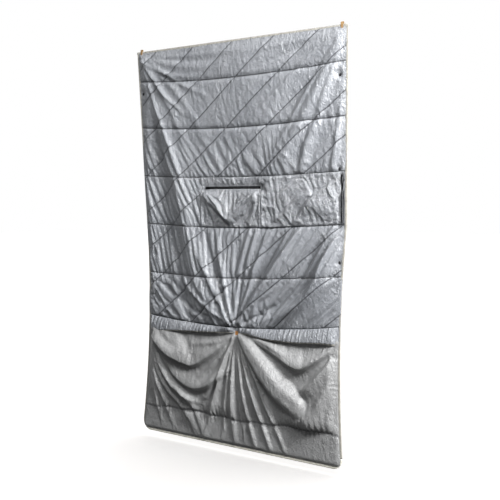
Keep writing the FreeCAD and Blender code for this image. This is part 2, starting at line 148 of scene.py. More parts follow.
def side_edge(drop, side):
    """Distance of one side edge from the middle at a drop below the top edge."""
    drop = np.asarray(drop, float)
    ux, uy, radius = arc_through([(side["shoulder"], SHOULDER_DROP),
                                  (side["waist"], side["waist_drop"]),
                                  (side["foot"], CORNER_DROP)])
    straight = TOP_HALF + (side["shoulder"] - TOP_HALF) * drop / SHOULDER_DROP
    inside = np.clip(drop, SHOULDER_DROP, CORNER_DROP)
    across = np.sqrt(np.maximum(radius**2 - (inside - uy)**2, 0))
    curved = ux + across if ux < side["waist"] else ux - across
    corner = np.clip(drop - CORNER_DROP, 0, FOOT_CORNER)
    turn = side["foot"] - (FOOT_CORNER - np.sqrt(np.maximum(FOOT_CORNER**2 - corner**2, 0)))
    return np.where(drop < SHOULDER_DROP, straight, np.where(drop < CORNER_DROP, curved, turn))


def left_edge(drop):
    """x of the left edge."""
    return -side_edge(drop, LEFT_SIDE)


def right_edge(drop):
    """x of the right edge."""
    return side_edge(drop, RIGHT_SIDE)


def side_distance(x, drop):
    """Distance to the nearer side edge."""
    return np.minimum(x - left_edge(drop), right_edge(drop) - x)


def edge_distance(x, drop):
    """Distance to the nearest edge of the outline."""
    return np.minimum(side_distance(x, drop), np.minimum(drop, LENGTH - drop))


def row_drop(x, nominal):
    """Real drop of a horizontal thread line that lies at a nominal drop before the cloth sags."""
    levels = [0.0] + [FIRST_ROW + ROW_PITCH * k for k in range(len(ROWS))] + [LENGTH]
    tables = []
    for place in range(3):
        shifts = [0.0] + [row[place] - levels[k + 1] for k, row in enumerate(ROWS)] + [0.0]
        tables.append(np.interp(nominal, levels, shifts))
    left, middle, right = tables
    t = np.clip(x / 0.66, -1.05, 1.05)
    bow = middle * (1 - t * t) + left * t * (t - 1) / 2 + right * t * (t + 1) / 2
    return nominal + bow


def slant_value(x, drop):
    """Number of the slanting stitch line at a place, whole on a line."""
    return (drop + SLANT * (x + SLANT_START) - SLANT_FIRST) / SLANT_PITCH


def rounded(route, steps=4):
    """The route as a smooth curve through its points, each span cut into equal steps."""
    route = np.asarray(route, float)
    ends = np.concatenate([[2 * route[0] - route[1]], route, [2 * route[-1] - route[-2]]])
    curve = []
    for k in range(len(route) - 1):
        before, start, end, after = ends[k:k + 4]
        for t in np.arange(steps) / steps:
            curve.append(0.5 * (2 * start + (end - before) * t
                                + (2 * before - 5 * start + 4 * end - after) * t**2
                                + (3 * start - before - 3 * end + after) * t**3))
    return np.array(curve + [route[-1]])


def fold(x, drop, route, height, width, other_width=None, power=2):
    """A raised fold along a route of (x, drop) points. The table is in millimetres. height and
    width are spread evenly over the route; width is on the left of the route's direction and
    other_width on its right. A power above 2 gives a flatter top and crisper sides."""
    route = rounded(np.asarray(route) / 1000)
    heights, widths, others = [
        np.interp(np.linspace(0, 1, len(route)), np.linspace(0, 1, len(values)),
                  np.asarray(values) / 1000)
        for values in (height, width, other_width or width)]
    best = np.full(x.shape, np.inf)
    result = np.zeros(x.shape)
    for k in range(len(route) - 1):
        ax, ay = route[k]
        bx, by = route[k + 1]
        length = math.hypot(bx - ax, by - ay)
        ux, uy = (bx - ax) / length, (by - ay) / length
        along = (x - ax) * ux + (drop - ay) * uy
        t = np.clip(along / length, 0, 1)
        past = np.maximum(np.maximum(-along, along - length), 0)
        across = (x - ax) * uy - (drop - ay) * ux
        away = np.hypot(across, past)
        side = np.where(across > 0, widths[k] + t * (widths[k + 1] - widths[k]),
                        others[k] + t * (others[k + 1] - others[k]))
        rise = (heights[k] + t * (heights[k + 1] - heights[k])) * np.exp(-(away / side) ** power)
        nearer = away < best
        result = np.where(nearer, rise, result)
        best = np.minimum(best, away)
    return result


def seam_distance(x, drop, nominal):
    """Distances to the nearest stitched row and to the nearest slanting line."""
    rows = np.abs((nominal - FIRST_ROW + ROW_PITCH / 2) % ROW_PITCH - ROW_PITCH / 2)
    rows = np.where(nominal < FIRST_ROW - ROW_PITCH / 2, 0.1, rows)
    value = slant_value(x, drop)
    slants = np.abs(value - np.round(value)) * SLANT_PITCH / math.hypot(1, SLANT)
    slants = np.where((value < -0.4) | (nominal > MOUTH_ROW + 0.09), 0.1, slants)
    return rows, slants


# ---- the hanging shape --------------------------------------------------------------------

SNAP_DROPS = (0.225, 0.650, 1.076, 1.500, 1.915)
LEFT_SNAPS = (-0.652, -0.586, -0.556, -0.575, -0.614)
RIGHT_SNAPS = (0.656, 0.655, 0.657, 0.640, 0.649)
HEM_DEPTH = 0.0020


def settle(x, drop, depth):
    """Brings the cloth to the depth of the hardware that is fixed to it."""
    for side, reach in ((LEFT_SNAPS, 0.030), (RIGHT_SNAPS, 0.026)):
        for sx, sd in zip(side, SNAP_DROPS):
            near = np.exp(-(np.hypot(x - sx, drop - sd) / reach) ** 4)
            depth = depth + (HEM_DEPTH - depth) * near
    edge = edge_distance(x, drop)
    return HEM_DEPTH + (depth - HEM_DEPTH) * smooth((edge - 0.010) / 0.045)


# Each entry of a fold table is what fold() takes after x and drop, in millimetres: the route,
# the heights, the widths on the left and, where they differ, the widths on the right.
BODY_FOLDS = (
    # from the left corner down to the tab
    ([(-660, 60), (-490, 470), (-340, 790), (-230, 1200), (0, 1420)], (10, 20, 20, 18, 6),
     (50, 75, 70, 60, 20), (40, 45)),
    ([(-670, 40), (-560, 300), (-500, 750), (-470, 1250)], (-4, -10, -14, -8), (40, 55)),
    ([(-640, 50), (-400, 360), (-270, 660)], (4, 8, 2), (16, 24)),
    ([(-640, 50), (-340, 280), (-100, 620)], (3, 6, 1), (14, 22)),
    ([(-647, 25), (-416, 164), (-163, 272)], (3, 10, 2), (9, 13)),
    ([(-650, 60), (-540, 300), (-420, 520), (-350, 680)], (3, 10, 10, 3), (9, 14)),
    ([(-660, 30), (-380, 100), (-50, 130)], (3, 7, 1), (14, 20)),
    ([(-660, 50), (-450, 160), (-220, 210)], (2, -6, 0), (12, 16)),
    ([(-660, 30), (-300, 50), (100, 55)], (2, 5, 1), (7, 10)),
    ([(-660, 35), (-300, 80), (0, 85)], (1, -5, -1), (7, 10)),
    ([(-655, 50), (-470, 135), (-260, 165)], (3, 9, 2), (7, 10)),
    ([(-650, 55), (-520, 200), (-400, 300), (-300, 360)], (3, 9, 8, 2), (8, 12)),
    # from the right corner down to the tab
    ([(678, 45), (590, 200), (515, 330), (435, 455), (345, 570), (250, 680), (110, 1100),
     (35, 1400)], (3, 20, 27, 29, 24, 7, 10, 4), (12, 24, 34, 40, 44, 45, 40, 30),
     (12, 30, 44, 52, 54, 50, 45, 40)),
    ([(680, 60), (628, 200), (572, 330), (525, 455), (480, 570)], (3, 12, 16, 13, 3), (12, 20, 24),
     (10, 18, 24)),
    ([(688, 80), (672, 330), (648, 480), (615, 660)], (3, 8, 10, 3), (14, 22), (9, 14)),
    ([(672, 40), (550, 190), (448, 330), (365, 455), (280, 570)], (3, 9, 10, 7, 2), (10, 14),
     (9, 13)),
    ([(520, 430), (480, 530), (445, 660)], (3, 15, 4), (22, 30), (16, 22)),
    ([(660, 30), (360, 240), (140, 500)], (3, 6, 1), (12, 18)),
    ([(660, 20), (300, 160), (20, 340)], (3, 6, 1), (14, 22)),
    ([(660, 20), (360, 55), (50, 70)], (3, 6, 1), (7, 10)),
    ([(660, 30), (360, 100), (120, 160)], (3, -5, -1), (7, 10)),
    ([(675, 30), (460, 150), (260, 300), (120, 420)], (3, 9, 8, 2), (9, 12)),
    # gathered towards the tab from above
    ([(-300, 920), (-160, 1160), (0, 1410)], (4, 16, 10), (34, 12)),
    ([(-200, 940), (-100, 1160), (10, 1410)], (2, -13, -8), (22, 9)),
    ([(-90, 960), (-40, 1200), (20, 1410)], (3, 14, 10), (28, 10)),
    ([(100, 1000), (70, 1200), (32, 1410)], (2, -10, -8), (22, 9)),
    ([(453, 918), (300, 1100), (140, 1290), (48, 1405)], (8, 36, 30, 10), (55, 50, 30, 11),
     (18, 14, 10)),
    ([(360, 930), (237, 1100), (109, 1230), (42, 1400)], (0, -20, -14, -6), (20, 10)),
    ([(627, 926), (570, 1090), (482, 1243), (300, 1340), (70, 1412)], (6, 30, 28, 18, 8),
     (46, 44, 28, 11), (18, 14, 10)),
    ([(550, 930), (470, 1100), (340, 1260), (60, 1408)], (0, -16, -14, -5), (22, 10)),
    ([(240, 930), (160, 1120), (38, 1400)], (2, 18, 8), (24, 10), (12, 8)),
    ([(-473, 869), (-398, 1076), (-324, 1344), (-260, 1420)], (0, -14, -14, -6), (26, 30)),
    ([(-440, 1100), (-240, 1280), (-10, 1415)], (2, 12, 8), (28, 10)),
    ([(-540, 1200), (-300, 1340), (-20, 1420)], (2, -10, -6), (24, 10)),
    # shallow waves that run down the sides
    ([(-610, 300), (-600, 900), (-585, 1350)], (4, 12, 6), (30, 34)),
    ([(600, 950), (580, 1150), (520, 1360)], (2, 10, 3), (30, 34)),
)


def body_depth(x, drop, nominal):
    """How far in front of the middle plane the quilting threads lie, and the pockets' mask."""
    middle = smooth((x - left_edge(drop) - 0.04) / 0.30)
    middle = middle * smooth((right_edge(drop) - x - 0.02) / 0.26)
    sway = 0.004 * np.sin(5.1 * x + 2.3 * drop) + 0.003 * np.sin(9.7 * x - 4.1 * drop + 1.3)
    depth = 0.003 + 0.007 * middle * smooth(drop / 0.30) + sway * middle
    fade = 1 - smooth((drop - FOLDS_END) / 0.08)
    for entry in BODY_FOLDS:
        depth = depth + fade * fold(x, drop, *entry)
    zip_band = np.exp(-((drop - CENTRE_ZIP_DROP) / 0.026) ** 6)
    zip_band *= smooth((x + 0.225) / 0.03) * smooth((0.235 - x) / 0.03)
    depth = depth + (0.0085 - depth) * zip_band
    side_band = np.exp(-((x - SIDE_ZIP_X) / 0.026) ** 6)
    side_band *= smooth((drop - 0.645) / 0.02) * smooth((0.945 - drop) / 0.02)
    depth = depth + (HEM_DEPTH - depth) * side_band
    below = smooth((drop - FOLDS_END) / 0.05)
    depth = depth * (1 - below) + 0.002 * below
    pocket = pocket_mask(x, nominal, CENTRE_POCKET) + pocket_mask(x, nominal, SIDE_POCKET)
    return settle(x, drop, depth), pocket


def pocket_mask(x, nominal, sides, soft=0.010):
    """One inside a pocket, falling to zero at its sewn edges."""
    top, foot = POCKET_ROWS
    return (smooth((x - sides[0]) / soft) * smooth((sides[1] - x) / soft)
            * smooth((nominal - top) / soft) * smooth((foot - nominal) / soft))


def near_hardware(x, drop):
    """One where a snap or a zip is fixed, so the cloth lies still there."""
    still = np.zeros(x.shape)
    for sx, sd in zip(LEFT_SNAPS + RIGHT_SNAPS, SNAP_DROPS * 2):
        still = np.maximum(still, 1 - smooth((np.hypot(x - sx, drop - sd) - 0.010) / 0.014))
    band = 1 - smooth((np.abs(drop - CENTRE_ZIP_DROP) - 0.012) / 0.012)
    still = np.maximum(still, band * smooth((x + 0.215) / 0.02) * smooth((0.225 - x) / 0.02))
    side = 1 - smooth((np.abs(x - SIDE_ZIP_X) - 0.012) / 0.012)
    side = side * smooth((drop - 0.655) / 0.015) * smooth((0.935 - drop) / 0.015)
    return np.maximum(still, side)


def puff(x, drop, nominal):
    """Height of the fill over the threads, 0 at a stitched line and 1 in a channel's middle."""
    rows, slants = seam_distance(x, drop, nominal)
    rise = 1 - 0.8 / (1 + (rows / 0.009) ** 2)
    rise = rise * (1 - 0.65 / (1 + (slants / 0.008) ** 2))
    inset = np.maximum(edge_distance(x, drop) - 0.012, 0)
    return rise * (1 - np.exp(-inset / 0.022)) * (1 - near_hardware(x, drop))


# ---- sheets -------------------------------------------------------------------------------

def grid(columns, levels, inset=0.0):
    """Points of a sheet that fills the outline: x and drop of each, with its nominal drop."""
    u, nominal = np.meshgrid(np.linspace(0, 1, columns), levels)
    x = (2 * u - 1) * 0.66
    for _ in range(3):
        drop = np.clip(row_drop(x, nominal), inset, LENGTH - inset)
        low, high = left_edge(drop) + inset, right_edge(drop) - inset
        x = low + (high - low) * u
    return x, drop, nominal


def as_points(x, drop, depth):
    """Points in the shared frame; depth is towards the front."""
    return np.stack([x, -depth, -drop], axis=-1)


def grid_normals(points):
    """Unit normals of a grid of points, on the side that faces forward."""
    across = np.gradient(points, axis=1)
    down = np.gradient(points, axis=0)
    normal = np.cross(down, across)
    normal /= np.maximum(np.linalg.norm(normal, axis=-1, keepdims=True), 1e-9)
    return normal if normal[..., 1].mean() < 0 else -normal


def grid_faces(rows, columns, keep=None):
    """Faces of a grid, wound so that their normals point forward."""
    r, c = np.meshgrid(np.arange(rows - 1), np.arange(columns - 1), indexing="ij")
    a = r * columns + c
    quads = np.stack([a, a + columns, a + columns + 1, a + 1], axis=-1)
    return quads.reshape(-1, 4) if keep is None else quads[keep]


def new_object(name, vertices, faces, material):
    """A smooth-shaded mesh object."""
    mesh = bpy.data.meshes.new(name)
    rows = faces if isinstance(faces, list) else faces.tolist()
    mesh.from_pydata(np.asarray(vertices).reshape(-1, 3).tolist(), [], rows)
    mesh.materials.append(material)
    mesh.polygons.foreach_set("use_smooth", [True] * len(mesh.polygons))
    mesh.update()
    piece = bpy.data.objects.new(name, mesh)
    bpy.context.scene.collection.objects.link(piece)
    return piece


def close_layers(name, front, back, material, keep=None):
    """A closed piece between two layers of the same grid, open where cells are left out."""
    rows, columns = front.shape[:2]
    count = rows * columns
    quads = grid_faces(rows, columns, keep)
    edges = np.concatenate([quads[:, [k, (k + 1) % 4]] for k in range(4)])
    forward = edges[:, 0] * count + edges[:, 1]
    reverse = edges[:, 1] * count + edges[:, 0]
    a, b = edges[~np.isin(forward, reverse)].T
    rim = np.stack([b, a, a + count, b + count], axis=1)
    faces = np.concatenate([quads, quads[:, ::-1] + count, rim])
    used, faces = np.unique(faces, return_inverse=True)
    vertices = np.concatenate([front.reshape(-1, 3), back.reshape(-1, 3)])[used]
    return new_object(name, vertices, faces.reshape(-1, 4), material)


def thick_sheet(name, front, thickness, material, keep=None):
    """A closed sheet of cloth behind a grid of points."""
    return close_layers(name, front, front - grid_normals(front) * thickness, material, keep)


def mark_seams(piece, row, slant):
    """Stores where each point lies between the rows and slants, for the thread and the painted seam
    shade in the cloth. A stitched line runs where a value is whole."""
    count = len(piece.data.vertices) // row.size
    for name, values in (("row", row), ("slant", slant)):
        attribute = piece.data.attributes.new(name, "FLOAT", "POINT")
        attribute.data.foreach_set("value", np.tile(values.ravel(), count))


def finish_piece(piece, slot, *nodes):
    """Declares what a piece rides on and the CAD pieces that it replaces. The slot is not used."""
    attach(piece, BODY)
    if nodes:
        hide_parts(*nodes)
    return piece


class Surface:
    """A grid of points with its own two coordinates, to find places on it."""

    def __init__(self, points, across, down):
        self.points = points
        self.normals = grid_normals(points)
        self.across = across
        self.down = down

    def at(self, across, down):
        """Points and normals at given coordinates."""
        rows, columns = self.points.shape[:2]
        c = np.interp(across, self.across, np.arange(columns))
        r = np.interp(down, self.down, np.arange(rows))
        c, r = np.broadcast_arrays(c, r)
        ci = np.minimum(c.astype(int), columns - 2)
        ri = np.minimum(r.astype(int), rows - 2)
        fc, fr = (c - ci)[..., None], (r - ri)[..., None]
        found = []
        for field in (self.points, self.normals):
            upper = field[ri, ci] * (1 - fc) + field[ri, ci + 1] * fc
            lower = field[ri + 1, ci] * (1 - fc) + field[ri + 1, ci + 1] * fc
            found.append(upper * (1 - fr) + lower * fr)
        return found


def cloth_coordinates(x, drop):
    """Where a place of the outline lies on the quilt's own grid: across 0..1 and nominal drop."""
    x, drop = np.broadcast_arrays(np.asarray(x, float), np.asarray(drop, float))
    nominal = drop.copy()
    for _ in range(5):
        nominal = nominal + drop - row_drop(x, nominal)
    low, high = left_edge(drop) + 0.001, right_edge(drop) - 0.001
    return (x - low) / (high - low), nominal


def drape(name, points, cut, hold, pressure, limit):
    """Lets a grid of cloth settle from the shape it was cut to, which is larger than its place:
    held points are brought to their places, and the slack between them buckles into folds."""
    rows, columns = points.shape[:2]
    piece = new_object(name + "_cloth", cut, grid_faces(rows, columns), SHELL)
    group = piece.vertex_groups.new(name="hold")
    levels = np.round(np.clip(hold.ravel(), 0, 1), 2)
    for level in np.unique(levels):
        group.add(np.nonzero(levels == level)[0].tolist(), float(level), "REPLACE")
    piece.shape_key_add(name="cut")
    hung = piece.shape_key_add(name="hung")
    hung.data.foreach_set("co", points.ravel())
    for value, number in ((0, 1), (1, SETTLE_FRAMES // 2)):
        hung.value = value
        hung.keyframe_insert("value", frame=number)
    cloth = piece.modifiers.new("cloth", "CLOTH")
    settings = cloth.settings
    settings.quality = 3
    settings.mass = 0.02
    settings.tension_stiffness = settings.compression_stiffness = 12
    settings.shear_stiffness = 3
    settings.bending_stiffness = 0.05
    settings.tension_damping = settings.compression_damping = settings.shear_damping = 1
    settings.bending_damping = 0.2
    settings.air_damping = 1
    settings.vertex_group_mass = "hold"
    settings.effector_weights.gravity = 0.0
    settings.use_pressure = True
    settings.uniform_pressure_force = pressure
    cloth.collision_settings.use_collision = False
    cloth.point_cache.frame_end = SETTLE_FRAMES
    scene = bpy.context.scene
    for number in range(1, SETTLE_FRAMES + 1):
        scene.frame_set(number)
    shown = piece.evaluated_get(bpy.context.evaluated_depsgraph_get())
    settled = np.zeros(rows * columns * 3)
    shown.data.vertices.foreach_get("co", settled)
    scene.frame_set(1)
    action = piece.data.shape_keys.animation_data.action
    mesh = piece.data
    bpy.data.objects.remove(piece)
    bpy.data.meshes.remove(mesh)
    bpy.data.actions.remove(action)
    # What the cloth moves as a whole is mostly taken out, so that its folds stay in their place.
    moved = settled.reshape(rows, columns, 3) - points
    drift = np.stack([soften(moved[..., k], 40) for k in range(3)], axis=-1)
    moved = moved - 0.85 * drift
    size = np.linalg.norm(moved, axis=-1, keepdims=True)
    return points + moved * np.minimum(1, limit / np.maximum(size, 1e-9))


def larger(points, across, down):
    """The same grid with slack added across and down, as shares of its size."""
    middle = points.reshape(-1, 3).mean(axis=0)
    return (points - middle) * (1 + across, 1, 1 + down) + middle


def roughened(points, x, drop, hold):
    """The grid with a small irregular start for the folds of its cloth, where it is not held."""
    bumps = (np.sin(61 * x + 9 * np.sin(7 * drop)) * np.sin(37 * drop + 5 * np.sin(11 * x))
             + 0.6 * np.sin(133 * x - 41 * drop + 4 * np.sin(23 * x)))
    start = points.copy()
    start[..., 1] += 0.0008 * bumps * (1 - hold)
    return start


# ---- materials ----------------------------------------------------------------------------

def node_material(name, roughness, specular=0.5, metallic=0.0, sheen=0.0):
    """A material with its node tree and its shader."""
    material = bpy.data.materials.new(name)
    material.use_nodes = True
    shader = material.node_tree.nodes["Principled BSDF"]
    shader.inputs["Roughness"].default_value = roughness
    shader.inputs["Specular IOR Level"].default_value = specular
    shader.inputs["Metallic"].default_value = metallic
    shader.inputs["Sheen Weight"].default_value = sheen
    return material, material.node_tree, shader


def texture(tree, kind, scale, stretch=(1, 1, 1), **inputs):
    """A procedural texture in the object's own space."""
    coordinates = tree.nodes.new("ShaderNodeTexCoord")
    mapping = tree.nodes.new("ShaderNodeMapping")
    mapping.inputs["Scale"].default_value = stretch
    tree.links.new(coordinates.outputs["Object"], mapping.inputs["Vector"])
    node = tree.nodes.new("ShaderNodeTex" + kind)
    tree.links.new(mapping.outputs["Vector"], node.inputs["Vector"])
    node.inputs["Scale"].default_value = scale
    for key, value in inputs.items():
        node.inputs[key.replace("_", " ")].default_value = value
    return node


def ramp(tree, source, stops):
    """A colour ramp with the given (place, colour) stops."""
    node = tree.nodes.new("ShaderNodeValToRGB")
    tree.links.new(source, node.inputs["Fac"])
    elements = node.color_ramp.elements
    while len(elements) < len(stops):
        elements.new(0.5)
    for element, (place, colour) in zip(elements, stops):
        element.position = place
        element.color = (*colour, 1)
    return node.outputs["Color"]


def bump(tree, height, strength, distance, below=None, invert=False):
    """A bumped normal, over another one where that is given."""
    node = tree.nodes.new("ShaderNodeBump")
    node.invert = invert
    node.inputs["Strength"].default_value = strength
    node.inputs["Distance"].default_value = distance
    tree.links.new(height, node.inputs["Height"])
    if below is not None:
        tree.links.new(below, node.inputs["Normal"])
    return node.outputs["Normal"]


def map_range(tree, source, low, high, start, end):
    """A value that goes from start to end while its source goes from low to high."""
    node = tree.nodes.new("ShaderNodeMapRange")
    for key, value in (("From Min", low), ("From Max", high), ("To Min", start), ("To Max", end)):
        node.inputs[key].default_value = value
    tree.links.new(source, node.inputs["Value"])
    return node


def greater(tree, first, second):
    """The greater of two values."""
    node = tree.nodes.new("ShaderNodeMath")
    node.operation = "MAXIMUM"
    tree.links.new(first, node.inputs[0])
    tree.links.new(second, node.inputs[1])
    return node.outputs["Value"]


def thread_and_shade_line(tree, name, pitch, width):
    """One along a line of stitching, falling to zero at a distance from it in metres: the mask of
    the thread and of the painted shade in the seam.
    """
    source = tree.nodes.new("ShaderNodeAttribute")
    source.attribute_name = name
    off = tree.nodes.new("ShaderNodeMath")
    off.operation = "PINGPONG"
    off.inputs[1].default_value = 0.5
    tree.links.new(source.outputs["Fac"], off.inputs[0])
    near = map_range(tree, off.outputs["Value"], 0.0, width / pitch, 1.0, 0.0)
    near.interpolation_type = "SMOOTHSTEP"
    return near.outputs["Result"]


# Creases of the shell cloth, from the lowest layer up: kind of noise, scale, share of height,
# detail, roughness, distortion and depth in metres.
CREASES = (
    ("FBM", 70.0, 0.50, 4, 0.65, 0.8, 0.0090),
    ("RIDGED_MULTIFRACTAL", 26.0, 0.55, 3, 0.60, 1.0, 0.0080),
    ("FBM", 190.0, 0.60, 2, 0.60, 0.5, 0.0056),
)


def taffeta(name, dark, light, roughness=0.35, crinkle=0.6, specular=0.9, thread=None):
    """Shiny plain-weave shell cloth with fine creases, drawn in along its threads. A given thread
    colour is painted along the stitched lines, as the thread and as painted shade in the seams'
    valleys.
    """
    material, tree, shader = node_material(name, roughness, specular)
    tone = texture(tree, "Noise", 5.0, Detail=3, Roughness=0.6)
    colour = ramp(tree, tone.outputs["Fac"], [(0.30, dark), (0.72, light)])
    normal = None
    for kind, scale, tall, detail, rough, bend, depth in CREASES:
        layer = texture(tree, "Noise", scale, stretch=(1.0, 1.0, tall), Detail=detail,
                        Roughness=rough, Distortion=bend)
        layer.noise_type = kind
        normal = bump(tree, layer.outputs["Fac"], crinkle, depth, normal)
    for direction in "ZX":
        weave = texture(tree, "Wave", 420.0, Distortion=0.4, Detail=1)
        weave.bands_direction = direction
        normal = bump(tree, weave.outputs["Fac"], 0.10, 0.0002, normal)
    # Painted shade: the thread colour fills a band several millimetres wide along each stitched
    # line. It is darker than the real thread and stands for the shade in the seam's valley.
    if thread:
        row = thread_and_shade_line(tree, "row", ROW_PITCH, 0.0050)
        slant = thread_and_shade_line(tree, "slant", SLANT_PITCH / math.hypot(1, SLANT), 0.0042)
        thread_and_shade_mask = greater(tree, row, slant)
        shade = tree.nodes.new("ShaderNodeMix")
        shade.data_type = "RGBA"
        shade.inputs["B"].default_value = (*thread, 1)
        tree.links.new(thread_and_shade_mask, shade.inputs["Factor"])
        tree.links.new(colour, shade.inputs["A"])
        colour = shade.outputs["Result"]
        normal = bump(tree, thread_and_shade_mask, 0.8, 0.0025, normal, invert=True)
    tree.links.new(colour, shader.inputs["Base Color"])
    tree.links.new(normal, shader.inputs["Normal"])
    return material


def woven_tape(name, dark, light, shine=0.2):
    """Ribbed grosgrain tape."""
    material, tree, shader = node_material(name, 0.8, shine, sheen=0.5 * shine)
    tone = texture(tree, "Noise", 40.0, Detail=4, Roughness=0.6)
    tree.links.new(ramp(tree, tone.outputs["Fac"], [(0.3, dark), (0.7, light)]),
                   shader.inputs["Base Color"])
    rib = texture(tree, "Wave", 160.0, Distortion=0.6, Detail=2)
    rib.bands_direction = "X"
    tree.links.new(bump(tree, rib.outputs["Fac"], 0.5, 0.0006), shader.inputs["Normal"])
    return material


def hard_black(name, roughness, metallic, specular=0.5):
    """Black moulded or painted hardware with light wear."""
    material, tree, shader = node_material(name, roughness, specular, metallic)
    tone = texture(tree, "Noise", 300.0, Detail=4, Roughness=0.7)
    tree.links.new(ramp(tree, tone.outputs["Fac"], [(0.35, (0.006, 0.006, 0.007)),
                                                    (0.75, (0.030, 0.030, 0.033))]),
                   shader.inputs["Base Color"])
    tree.links.new(bump(tree, tone.outputs["Fac"], 0.2, 0.0003), shader.inputs["Normal"])
    return material


# The thread colours of these cloths are the thread and the painted shade along their stitched
# lines.
SHELL = taffeta("shell_taffeta", (0.150, 0.158, 0.172), (0.205, 0.213, 0.228),
                thread=(0.035, 0.037, 0.042))
BACK = taffeta("back_taffeta", (0.135, 0.142, 0.155), (0.185, 0.192, 0.205),
               thread=(0.035, 0.037, 0.042))
HEM = taffeta("hem_taffeta", (0.140, 0.147, 0.160), (0.190, 0.198, 0.212), 0.36, 0.8, 0.6)
POCKET = taffeta("pocket_taffeta", (0.150, 0.157, 0.170), (0.210, 0.217, 0.230), 0.28, 0.9)
# On the foot panel, the painted seam shade and the thread along its last row are lighter.
FOOT = taffeta("foot_taffeta", (0.138, 0.139, 0.140), (0.200, 0.202, 0.203), 0.40, 0.55, 0.7,
               thread=(0.085, 0.086, 0.088))
TAPE = woven_tape("edge_grosgrain", (0.19, 0.183, 0.165), (0.29, 0.28, 0.25))
FOOT_TAPE = woven_tape("foot_grosgrain", (0.42, 0.41, 0.36), (0.62, 0.60, 0.53))
LOOP = woven_tape("loop_webbing", (0.15, 0.088, 0.036), (0.24, 0.145, 0.06))
TAB_TAPE = woven_tape("tab_webbing", (0.36, 0.15, 0.04), (0.50, 0.23, 0.07))
ZIP_TAPE = woven_tape("zip_webbing", (0.002, 0.002, 0.002), (0.006, 0.006, 0.006), shine=0.04)
COIL = hard_black("zip_nylon", 0.6, 0.0, 0.15)
METAL = hard_black("zip_metal", 0.32, 0.8)
SNAP = hard_black("snap_enamel", 0.28, 0.0)
LINING = taffeta("lining_taffeta", (0.030, 0.031, 0.034), (0.055, 0.056, 0.060), 0.5, 0.3)
EDGE_THREAD = woven_tape("edge_thread", (0.22, 0.22, 0.21), (0.34, 0.34, 0.32))
THREAD = woven_tape("thread", (0.055, 0.058, 0.064), (0.095, 0.10, 0.108))
FILL = woven_tape("fill_fibre", (0.70, 0.70, 0.68), (0.82, 0.82, 0.80))


# ---- quilted body -------------------------------------------------------------------------

def quilt_levels():
    """Nominal drops of the grid's rows, with a row of points on every stitched row."""
    return np.concatenate([np.linspace(0, FIRST_ROW, 22, endpoint=False),
                           np.linspace(FIRST_ROW, FOOT_ROW, 36 * 7, endpoint=False),
                           np.linspace(FOOT_ROW, LENGTH, 17)])


def quilt_surface():
    """x, drop and nominal drop over the quilted body's grid, and the points of its front."""
    x, drop, nominal = grid(QUILT_COLUMNS, quilt_levels(), inset=0.001)
    depth, pocket = body_depth(x, drop, nominal)
    covered = 0.6 * smooth((drop - HIDDEN_FROM) / 0.03)
    lift = LOFT * puff(x, drop, nominal) * (1 - 0.8 * pocket) * (1 - covered)
    front = as_points(x, drop, depth + lift)
    rows, slants = seam_distance(x, drop, nominal)
    edge = edge_distance(x, drop)
    hold = highest(0.03, 0.9 * np.exp(-(rows / 0.006) ** 2),
                   0.8 * np.exp(-(slants / 0.005) ** 2), 1 - smooth((edge - 0.012) / 0.012),
                   near_hardware(x, drop), pocket, smooth((drop - HIDDEN_FROM) / 0.02))
    start = roughened(front, x, drop, hold)
    wrinkled = drape("face", start, quilt_cut(start, nominal), hold, 0.2, 0.014)
    slack = 0.14 + 0.86 * smooth((drop - 0.36) / 0.36)
    front = start + (wrinkled - start) * slack[..., None]
    drawn = 0.0030 * np.exp(-(rows / 0.006) ** 2) + 0.0012 * np.exp(-(slants / 0.009) ** 2)
    drawn = drawn * smooth((edge - 0.012) / 0.03) * (1 - near_hardware(x, drop))
    relief = (puckers(x, drop, nominal) - drawn) * (1 - pocket)
    front = front + grid_normals(front) * relief[..., None]
    return x, drop, nominal, front


def quilt_cut(points, nominal):
    """The face cloth laid flat: a rectangle, so that it is widest for its place where the hung
    quilt is drawn in, and most of that width is gathered above the tab."""
    across = np.linspace(-1, 1, points.shape[1])[None, :]
    cut = points.copy()
    cut[..., 0] = TOP_HALF * 1.006 * across
    cut[..., 2] = -nominal * 1.006
    from_tab = points[..., 0] - TAB[0]
    near = np.exp(-((points[..., 2] + TAB[1]) / 0.30) ** 2)
    cut[..., 0] += 0.035 * (np.tanh(from_tab / 0.12) - from_tab / 0.64) * near
    return cut


def puckers(x, drop, nominal):
    """Short ripples that the stitching draws across each seam and along the edges."""
    rows, slants = seam_distance(x, drop, nominal)
    edge = edge_distance(x, drop)
    sway = 1.7 * np.sin(11.0 * x + 6 * nominal) + 2.1 * np.sin(23.0 * x + 3.0)
    ripple = np.sin(2 * math.pi * x / 0.021 + sway) * np.exp(-rows / 0.020)
    along = (x - SLANT * drop) / math.hypot(1, SLANT)
    slanting = np.sin(2 * math.pi * along / 0.024 + sway) * np.exp(-slants / 0.014)
    side = np.sin(2 * math.pi * drop / 0.026 + 2 * np.sin(19 * drop)) * np.exp(-edge / 0.028)
    fade = smooth((edge - 0.012) / 0.012) * (1 - near_hardware(x, drop))
    return (0.0011 * ripple + 0.0008 * slanting + 0.0014 * side) * fade


def declare_quilted(piece, x, drop, nominal):
    mark_seams(piece, (nominal - FIRST_ROW) / ROW_PITCH, slant_value(x, drop))


